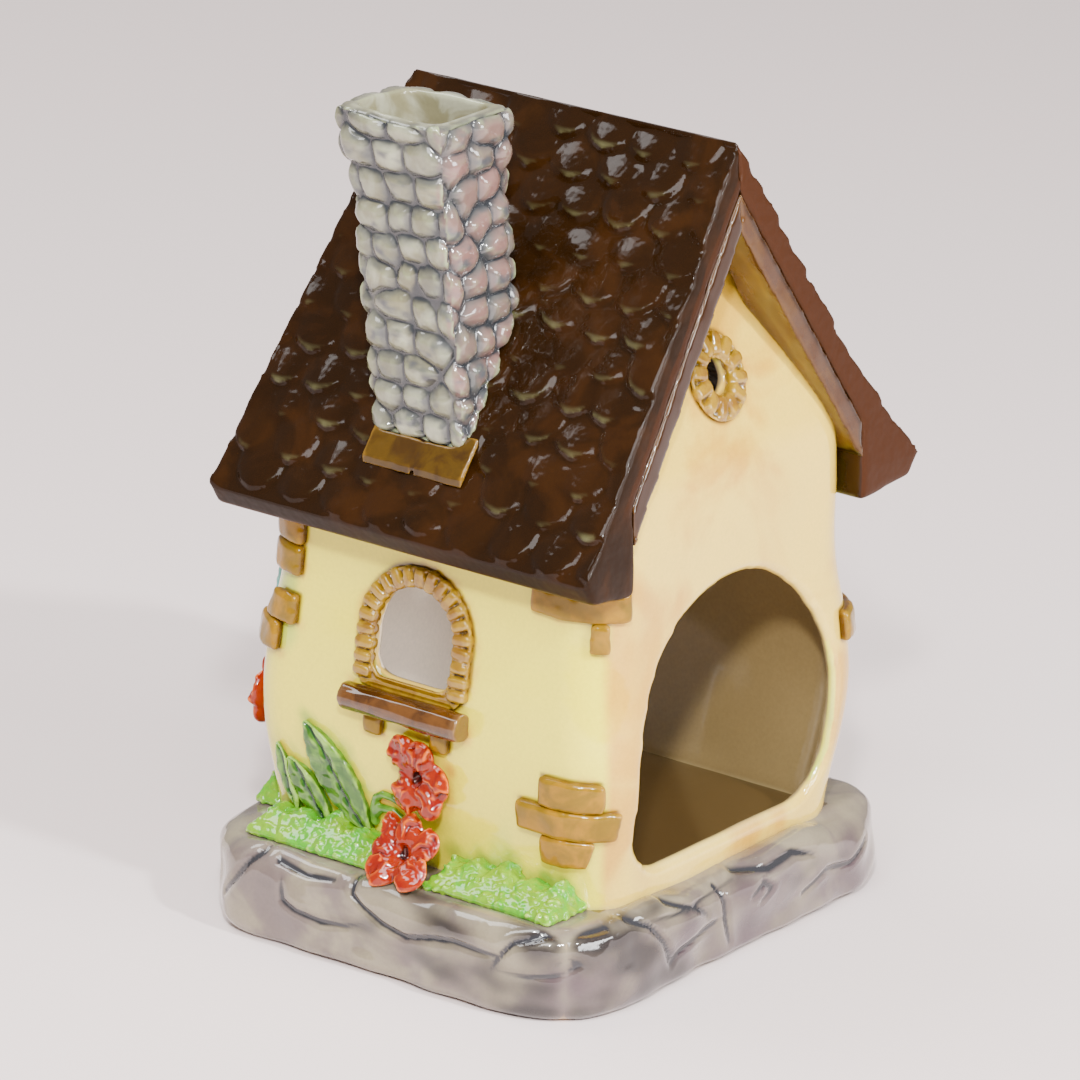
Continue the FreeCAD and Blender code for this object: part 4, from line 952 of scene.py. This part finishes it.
def ring_guides(out, centre, half, top, spring, foot, count, turn=math.pi):
    """Guides for bricks set radially round an arched opening, from one foot round to the other."""
    tree = cad_tree(*WALLS)
    out = Vector(out)
    right = Vector((0, 0, 1)).cross(out)
    straight = spring - foot
    whole = 2 * straight + turn * half
    guides = []
    for number in range(count):
        run = whole * (number + 0.5) / count
        if run < straight:
            spot, radial = (-half, foot + run), (-1, 0)
        elif run > whole - straight:
            spot, radial = (half, foot + whole - run), (1, 0)
        else:
            angle = math.pi - (run - straight) / half
            radial = (math.cos(angle), math.sin(angle))
            spot = (half * radial[0], spring + (top - spring) * radial[1])
        place = right * (centre + spot[0]) + Vector((0, 0, spot[1]))
        hit, normal = tree.ray_cast(place + out * 0.2, -out)[:2]
        if hit is None:
            continue
        along = right * radial[0] + Vector((0, 0, radial[1]))
        guides.append((hit + normal * 0.5 * MM, along, normal, (1, 1, 1)))
    return guides


class COTTAGE_OT_ring_openings(bpy.types.Operator):
    """Sets the brick rings round the windows and the vent"""
    bl_idname = "cottage.ring_openings"
    bl_label = "Ring the openings"

    def execute(self, context):
        given = context.scene.cottage_trim
        # Ochre underglaze bricks: gold on the crowns, with dark olive run into the joints.
        glaze = glazed("ochre_brick_underglaze", given.brick, "#77520c", given.joint, "#d0b048", 6.0,
                       (), 0.10, -0.20, 0.30)
        for name, out in zip(RINGS + (VENT,), ((-1, 0, 0), (1, 0, 0), (0, 1, 0), (0, -1, 0))):
            low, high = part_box(name)
            centre = Vector((0, 0, 1)).cross(Vector(out)).dot((low + high) / 2)
            if name == VENT:
                half = (high.x - low.x) / 2 - VENT_INSET * MM
                middle = (low.z + high.z) / 2
                guides = ring_guides(out, centre, half, middle + half, middle, middle, VENT_BRICKS, 2 * math.pi)
                length, width = (size * MM for size in VENT_BRICK)
            else:
                axis = 1 if out[0] else 0
                half = (high[axis] - low[axis]) / 2 - RING_WIDTH / 2 * MM
                top = high.z - RING_WIDTH / 2 * MM
                count = round(given.brick_count * half / (RING_HALF * MM))
                guides = ring_guides(out, centre, half, top, top - half, low.z + 2.5 * MM, count)
                length, width = BRICK_LENGTH * MM, given.brick_width
            bricks = set_out(guides, pebble(length, width, given.brick_rise), glaze, 0.08, 0.08, 3)
            bed = recast(node_copy(name), "ring_bed")
            push(bed, -1.3 * MM * step(0.2, 0.6, normals_of(bed) @ np.array(out)))
            mesh = recast(join(bed, bricks), "ring")
            soften(mesh, 1)
            feel(mesh, 10)
            show(mesh, name.replace("surround", "bricks"), glaze, (name,))
        return {"FINISHED"}


class COTTAGE_OT_bed_stones(bpy.types.Operator):
    """Beds the corner stones and the corbels"""
    bl_idname = "cottage.bed_stones"
    bl_label = "Bed the stones"

    def execute(self, context):
        given = context.scene.cottage_trim
        # Tan underglaze stones modelled as soft pillows, each outlined with a brown brush.
        glaze = glazed("tan_corner_stone_underglaze", given.stone, "#946a04", given.outline, "#b88c2c",
                       9.0, (("edge", given.outline, 0.0, 0.6),), 0.10, -0.2, 0.5, gloss=0.45)
        for name in STONES + CORBELS:
            mesh = cast_apart(name, "stone", 16, 0.6 * MM)
            roughen(mesh, 6, 2, 0.3 * MM)
            write_values(mesh, edge=near(points_of(mesh), WALLS, 2.3))
            feel(mesh, 8)
            show(mesh, name + "_glazed", glaze, (name,))
        return {"FINISHED"}


class COTTAGE_OT_fit_woodwork(bpy.types.Operator):
    """Fits the log sills and the verge boards"""
    bl_idname = "cottage.fit_woodwork"
    bl_label = "Fit the woodwork"

    def execute(self, context):
        given = context.scene.cottage_trim
        # Brown underglaze on modelled logs, rubbed thin along the top and dark at the ends.
        log = glazed("brown_log_underglaze", given.log, "#5a3610", "#341c08", "#96703a", 7.0,
                     (("end", "#5f4020", 0.2, 0.9),), 0.10, -0.2, 0.45)
        for name in SILLS:
            mesh = cast((name,), "log")
            points = points_of(mesh)
            low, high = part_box(name)
            length = 0 if name.startswith("door_gable") else 1
            stretch = np.array((1.0, 1.0, 1.0))
            stretch[length] = 0.16
            push(mesh, cloud(points * stretch, 2.6, 3) * 0.22 * MM + cloud(points, 9, 5, 1) * 0.35 * MM)
            from_end = np.minimum(points[:, length] - low[length], high[length] - points[:, length])
            write_values(mesh, end=step(3.0 * MM, 0.4 * MM, from_end))
            feel(mesh, 10)
            show(mesh, name.replace("sill", "log"), log, (name,))
        # Brown underglaze board with a dark line brushed where it meets the roof; the boards on the chimney side are
        # darkened with painted shade.
        board = glazed("brown_board_underglaze", "#3e220a", "#4a2e10", "#1a0d03", "#604018", 12.0,
                       (("seam", "#241206", 0.2, 0.8), ("shaded", "#2b1708", 0.2, 0.8)), 0.12, -0.4, 0.5, gloss=0.6)
        for name in VERGE_BOARDS:
            mesh = cast((name,), "board")
            roughen(mesh, 5, 3, 0.25 * MM, (0.5, 1, 0.35))
            # The boards on the chimney side get painted shade.
            write_values(mesh, seam=near(points_of(mesh), ROOFS, 3.2),
                         shaded=np.full(len(mesh.vertices), float(name.startswith("chimney"))))
            feel(mesh, 10)
            show(mesh, name + "_painted", board, (name,))
        return {"FINISHED"}


def petal_mesh(lobes, centre, right, up, out, seed):
    """A ruffled poppy: overlapping lobes cast together, with ridges that run from the heart."""
    whole = bmesh.new()
    basis = Matrix((right, up, out)).transposed()
    for number, (across, height, reach, width, turn) in enumerate(lobes):
        lift = LOBE_LIFTS[number]
        tilt = Matrix.Rotation(math.radians(turn), 4, "Z") @ Matrix.Rotation(math.radians(LOBE_TILT), 4, "Y")
        size = Matrix.Diagonal((reach * MM, width * MM, 2.0 * MM, 1))
        shift = Matrix.Translation((across * 0.92 * MM, height * 0.92 * MM, lift * MM))
        bmesh.ops.create_icosphere(whole, subdivisions=3, radius=1, matrix=shift @ tilt @ size)
    bmesh.ops.create_icosphere(whole, subdivisions=3, radius=1,
                               matrix=Matrix.Diagonal((6 * MM, 6 * MM, 1.9 * MM, 1)))
    mesh = recast(mesh_of(whole, "poppy"), "poppy")
    soften(mesh, 1)
    points, normals = points_of(mesh) / MM, normals_of(mesh)
    radius = np.hypot(points[:, 0], points[:, 1])
    angle = np.arctan2(points[:, 1], points[:, 0])
    # On the front, ridges run out from the heart, the rim waves and the heart is a pit.
    front = step(0.0, 0.5, normals[:, 2])
    wander = cloud(points * MM, 4, seed)
    ruffle = np.sin(angle * 12 + wander * 5.0 + radius * 0.2) * 0.24 * step(2.0, 5.0, radius)
    wave = np.sin(angle * 7 + seed + wander * 2) * 0.6 * step(4.5, 8.5, radius)
    pit = -2.2 * np.exp(-(radius / 1.6) ** 2)
    push(mesh, ((ruffle + wave + wander * 0.45) * front + pit * front) * MM)
    points = points_of(mesh)
    write_values(mesh, heart=np.exp(-(radius / 1.7) ** 2) * front,
                 streak=step(0.35, 0.9, cloud(points, 3.0, seed + 4)) * front)
    put_points(mesh, points @ np.array(basis).T + np.array(centre))
    return mesh


class COTTAGE_OT_model_poppies(bpy.types.Operator):
    """Models the ruffled poppies"""
    bl_idname = "cottage.model_poppies"
    bl_label = "Model the poppies"

    def execute(self, context):
        given = context.scene.cottage_garden
        # Orange-red enamel that breaks to yellow orange on the ridges and darkens in the folds.
        glaze = glazed("poppy_red_enamel", given.petal, "#780e00", "#3c0400", "#cc5a02", 5.0,
                       (("streak", "#e25a08", 0.2, 1.0), ("heart", "#160c0a", 0.35, 0.7)), 0.07, -0.22, 0.26,
                       gloss=0.7)
        tilt = math.radians(36)
        blooms = (
            ("upper_poppy", UPPER_LOBES, (0, -1, 0), (0, 0, 1), (-1, 0, 0), 1),
            ("lower_poppy", LOWER_LOBES, (0, -1, 0), (math.sin(tilt), 0, math.cos(tilt)),
             (-math.cos(tilt), 0, math.sin(tilt)), 2),
            ("door_gable_upper_poppy", UPPER_LOBES, (-1, 0, 0), (0, 0, 1), (0, 1, 0), 3),
            ("door_gable_lower_poppy", LOWER_LOBES, (-1, 0, 0), (0, 0, 1), (0, 1, 0), 4),
        )
        for name, lobes, right, up, out, seed in blooms:
            low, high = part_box(name)
            centre = (low + high) / 2
            if name == "lower_poppy":
                centre = Vector((low.x + 4.0 * MM, centre.y, centre.z - 0.6 * MM))
            else:
                face = 0 if out[0] else 1
                centre[face] = (low[face] if out[face] < 0 else high[face]) - out[face] * 3.0 * MM
            mesh = petal_mesh(lobes, centre, right, up, out, seed)
            feel(mesh, 9)
            show(mesh, name + "_bloom", glaze, (name,))
        return {"FINISHED"}


def strands(paths):
    """Round stems laid on the chimney-side wall, thinning toward their flowers."""
    tree = cad_tree(*WALLS)
    whole = bmesh.new()
    for path in paths:
        knots = np.array(path) * MM
        run = np.append(0, np.cumsum(np.linalg.norm(np.diff(knots, axis=0), axis=1)))
        for spot in np.arange(0, run[-1], 0.4 * MM):
            along, height = (np.interp(spot, run, knots[:, axis]) for axis in (0, 1))
            hit, normal = tree.ray_cast(Vector((-0.2, along, height)), Vector((1, 0, 0)))[:2]
            radius = (1.35 - 0.5 * spot / run[-1]) * MM
            bmesh.ops.create_icosphere(whole, subdivisions=2, radius=radius,
                                       matrix=Matrix.Translation(hit + normal * 0.5 * MM))
    mesh = recast(mesh_of(whole, "stems"), "stem")
    soften(mesh, 3)
    return mesh


class COTTAGE_OT_plant_garden(bpy.types.Operator):
    """Plants the leaves, the stems and the grass"""
    bl_idname = "cottage.plant_garden"
    bl_label = "Plant the garden"

    def execute(self, context):
        given = context.scene.cottage_garden
        # Copper green underglaze, dark in the folds and pale along the turned edges.
        leaf = glazed("copper_green_leaf_underglaze", given.leaf, "#5f8f20", "#0c2e10",
                      "#88b040", 7.0, (("rib", "#1c4a28", 0.3, 0.9),), 0.09, -0.2, 0.3)
        for name in LEAVES + (STEM_NODE,):
            mesh = strands(STEMS) if name == STEM_NODE else cast((name,), "leaf")
            points, normals = points_of(mesh), normals_of(mesh)
            rib = np.zeros(len(points))
            if name != STEM_NODE:
                across = 0 if name == "door_gable_leaf" else 1
                flat = points[:, (across, 2)]
                flat = flat - flat.mean(axis=0)
                length = np.linalg.eigh(flat.T @ flat)[1][:, 1]
                run, off = flat @ length, flat @ np.array((-length[1], length[0]))
                face = np.abs(normals[:, 1 - across])
                # A leaf has a bowed midrib sunk in it, a fold beside that, and slanting veins.
                bow = 0.9 * MM * np.sin(run / (6 * MM))
                rib = np.exp(-((off - bow) / (0.7 * MM)) ** 2) * step(0.3, 0.7, face)
                fold = np.exp(-((off - bow - 2.4 * MM) / (1.2 * MM)) ** 2)
                veins = np.sin((run - np.abs(off) * 0.8) / (0.75 * MM)) * 0.12 * MM
                push(mesh, (-rib * 0.95 * MM + fold * 0.6 * MM + veins) * step(0.2, 0.7, face)
                     + cloud(points, 4, 3) * 0.2 * MM)
            write_values(mesh, rib=rib)
            feel(mesh, 10)
            show(mesh, name + "_glazed", leaf, (name,))
        # Crumbled clay under yellow-green glaze, with stronger green brushed in and a paler one where it thins.
        grass = glazed("crumbled_grass_underglaze", given.grass, given.blade, "#26700c", "#a6ca4c", 6.0,
                       (), 0.10, -0.30, 0.30)
        for number, name in enumerate(GRASSES):
            mesh = cast((name,), "turf")
            points, normals = points_of(mesh), normals_of(mesh)
            rng = np.random.default_rng(given.seed + number)
            facing = normals[:, 2] > -0.1
            count = min(int(facing.sum() * TUFT_SHARE), MOST_TUFTS)
            chosen = rng.choice(np.flatnonzero(facing), size=count, replace=False)
            guides = [(points[place] - normals[place] * 0.25 * given.crumb, rng.normal(size=3), normals[place],
                       (1, 1, 1)) for place in chosen]
            tuft = pebble(given.crumb * 1.5, given.crumb * 0.75, given.crumb * 0.9, 2.2, 2)
            tufts = set_out(guides, tuft, grass, 0.4, 0.6, given.seed + number)
            mesh = recast(join(mesh, tufts), "grass")
            soften(mesh, 1)
            push(mesh, (0.45 - crumbs(points_of(mesh), 1.6, 2)) * 0.35 * MM)
            points = points_of(mesh)
            points[:, 2] = np.maximum(points[:, 2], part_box(name)[0].z - 1.0 * MM)
            put_points(mesh, points)
            feel(mesh, 8)
            show(mesh, name + "_glazed", grass, (name,))
        return {"FINISHED"}


class COTTAGE_OT_hang_door(bpy.types.Operator):
    """Hangs the plank door, its surround, step, knob and shutters"""
    bl_idname = "cottage.hang_door"
    bl_label = "Hang the door"

    def execute(self, context):
        trim = context.scene.cottage_trim
        # Planks scored in the clay before firing: brown underglaze, nearly black in the scores.
        planks = glazed("brown_plank_underglaze", "#70441e", "#855a2c", "#2c180a",
                        "#a47c4c", 6.0, (("score", "#2a170a", 0.3, 0.9),), 0.11, -0.2, 0.4)
        teal = glazed("teal_shutter_underglaze", "#2f7f78", "#4d9a8e", "#12423e",
                      "#8cc0b2", 5.0, (("score", "#12423e", 0.3, 0.9),), 0.10, -0.2, 0.35)
        stone = glazed("tan_door_stone_underglaze", trim.stone, "#dcb878", trim.outline, "#e6cf98", 8.0,
                       (("score", trim.outline, 0.3, 0.9),), 0.12, -0.3, 0.4)
        grey = glazed("grey_step_underglaze", "#8f8a7b", "#77756c", "#3b3c40",
                      "#b9b6a6", 7.0, (), 0.12, -0.3, 0.4)
        brass = glazed("ochre_knob_underglaze", "#b9852c", "#d0a048", "#5c3a10",
                       "#ecd080", 3.0, (), 0.08, -0.2, 0.3)
        parts = (
            ("cottage_door", planks, "door_wood", 0, 4.6), ("left_shutter", teal, "teal_wood", 2, 2.6),
            ("right_shutter", teal, "teal_wood", 2, 2.6), ("door_surround", stone, "corner_stone", None, 6.5),
            ("door_step", grey, "step_stone", None, 0), ("door_knob", brass, "knob_brass", None, 0),
        )
        for name, glaze, slot, axis, pitch in parts:
            mesh = cast((name,), "knob" if name == "door_knob" else "door")
            points, normals = points_of(mesh), normals_of(mesh)
            score = np.zeros(len(points))
            if pitch:
                low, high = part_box(name)
                if axis is None:
                    # Stones round the door: joints run radially from a point low in the doorway.
                    middle = (low.x + high.x) / 2
                    spring = high.z - (high.x - low.x) / 2
                    angle = np.arctan2(np.maximum(points[:, 2] - spring, 0), points[:, 0] - middle)
                    arc = np.where(points[:, 2] > spring, angle * (high.x - low.x) / 2,
                                   np.where(points[:, 0] > middle, 0, math.pi * (high.x - low.x) / 2)
                                   + (spring - points[:, 2]) * np.where(points[:, 0] > middle, -1, 1))
                    place = arc / MM
                else:
                    place = (points[:, axis] - low[axis]) / MM
                to_joint = np.abs((place / pitch + 0.5) % 1 - 0.5) * pitch
                score = np.exp(-(to_joint / 0.45) ** 2) * step(0.2, 0.6, normals[:, 1])
                push(mesh, -score * 0.55 * MM)
            roughen(mesh, 5, 4, 0.15 * MM)
            write_values(mesh, score=score)
            feel(mesh, 9)
            show(mesh, name + "_glazed", glaze, (name,))
        return {"FINISHED"}


class COTTAGE_OT_set_stage(bpy.types.Operator):
    """Sets the paper floor, the soft lights and the camera"""
    bl_idname = "cottage.set_stage"
    bl_label = "Set the stage"

    def execute(self, context):
        given = context.scene.cottage_stage
        paper = bpy.data.materials.new("pale_matt_paper")
        paper.use_nodes = True
        # Matt backdrop paper: no gloss at all, only a very faint fibre.
        surface = paper.node_tree.nodes["Principled BSDF"]
        surface.inputs["Base Color"].default_value = given.floor
        surface.inputs["Roughness"].default_value = 0.9
        surface.inputs["Specular IOR Level"].default_value = 0.1
        sheet = bmesh.new()
        bmesh.ops.create_grid(sheet, x_segments=2, y_segments=2, size=6)
        mesh = mesh_of(sheet, "paper")
        mesh.materials.append(paper)
        floor = bpy.data.objects.new("paper_floor", mesh)
        context.scene.collection.objects.link(floor)

        world = bpy.data.worlds.new("even_light")
        world.use_nodes = True
        backdrop = world.node_tree.nodes["Background"]
        backdrop.inputs["Color"].default_value = linear("#f4efec")
        backdrop.inputs["Strength"].default_value = given.world
        context.scene.world = world

        middle = Vector((0, 0, 95 * MM))
        # (name, azimuth from +X, elevation, distance, width, height, power)
        lamps = (
            ("window_light", 200, 48, 1.5, 1.0, 0.7, given.key_power),
            ("fill_light", 275, 13, 1.7, 0.7, 0.4, given.key_power * 0.85),
            ("top_light", 95, 60, 1.8, 0.9, 0.9, given.key_power * 0.8),
            ("left_spark", 215, 34, 1.4, 0.07, 0.12, given.spark_power),
            ("right_spark", 262, 38, 1.4, 0.07, 0.12, given.spark_power),
        )
        for name, azimuth, elevation, distance, wide, tall, power in lamps:
            lamp = bpy.data.lights.new(name, "AREA")
            lamp.shape = "RECTANGLE"
            lamp.size, lamp.size_y, lamp.energy = wide, tall, power
            turn, lift = math.radians(azimuth), math.radians(elevation)
            back = Vector((math.cos(turn) * math.cos(lift), math.sin(turn) * math.cos(lift), math.sin(lift)))
            light = bpy.data.objects.new(name, lamp)
            turned = back.to_track_quat("Z", "Y").to_matrix().to_4x4()
            light.matrix_world = Matrix.Translation(middle + back * distance) @ turned
            context.scene.collection.objects.link(light)

        camera = bpy.data.objects.new("camera", bpy.data.cameras.new("camera"))
        camera.data.sensor_width = 36
        camera.data.lens = 233.33
        place, aim = Vector((-1.3008, -0.9534, 0.6485)), Vector((-0.002747, 0.003726, 0.092616))
        roll = math.radians(1.87)
        back = (place - aim).normalized()
        right = Vector((0, 0, 1)).cross(back).normalized()
        up = back.cross(right)
        tilted = right * math.cos(roll) + up * math.sin(roll)
        axes = Matrix((tilted, back.cross(tilted), back)).transposed().to_4x4()
        camera.matrix_world = Matrix.Translation(place) @ axes
        context.scene.collection.objects.link(camera)
        context.scene.camera = camera
        return {"FINISHED"}


class COTTAGE_PT_tools(bpy.types.Panel):
    """Lists the steps that model the cottage"""
    bl_label = "Glazed Cottage"
    bl_idname = "COTTAGE_PT_tools"
    bl_space_type = "VIEW_3D"
    bl_region_type = "UI"
    bl_category = "Cottage"

    def draw(self, context):
        for group in SETTINGS:
            settings = getattr(context.scene, group)
            box = self.layout.box()
            for name in settings.__annotations__:
                box.prop(settings, name)
        for operator in OPERATORS:
            self.layout.operator(operator.bl_idname)


SETTINGS = {
    "cottage_plinth": PlinthSettings,
    "cottage_walls": WallSettings,
    "cottage_roof": RoofSettings,
    "cottage_chimney": ChimneySettings,
    "cottage_trim": TrimSettings,
    "cottage_garden": GardenSettings,
    "cottage_stage": StageSettings,
}
OPERATORS = (
    COTTAGE_OT_lay_plinth, COTTAGE_OT_raise_walls, COTTAGE_OT_lay_roof, COTTAGE_OT_build_chimney,
    COTTAGE_OT_ring_openings, COTTAGE_OT_bed_stones, COTTAGE_OT_fit_woodwork, COTTAGE_OT_model_poppies,
    COTTAGE_OT_plant_garden, COTTAGE_OT_hang_door, COTTAGE_OT_set_stage,
)


def register():
    for group in SETTINGS.values():
        bpy.utils.register_class(group)
    for operator in OPERATORS + (COTTAGE_PT_tools,):
        bpy.utils.register_class(operator)
    for name, group in SETTINGS.items():
        setattr(bpy.types.Scene, name, bpy.props.PointerProperty(type=group))


def unregister():
    for name in SETTINGS:
        delattr(bpy.types.Scene, name)
    for operator in reversed(OPERATORS + (COTTAGE_PT_tools,)):
        bpy.utils.unregister_class(operator)
    for group in reversed(list(SETTINGS.values())):
        bpy.utils.unregister_class(group)


def main():
    register()
    bpy.ops.cottage.lay_plinth()
    bpy.ops.cottage.raise_walls()
    bpy.ops.cottage.lay_roof()
    bpy.ops.cottage.build_chimney()
    bpy.ops.cottage.ring_openings()
    bpy.ops.cottage.bed_stones()
    bpy.ops.cottage.fit_woodwork()
    bpy.ops.cottage.model_poppies()
    bpy.ops.cottage.plant_garden()
    bpy.ops.cottage.hang_door()
    bpy.ops.cottage.set_stage()


if __name__ == "__main__":
    main()
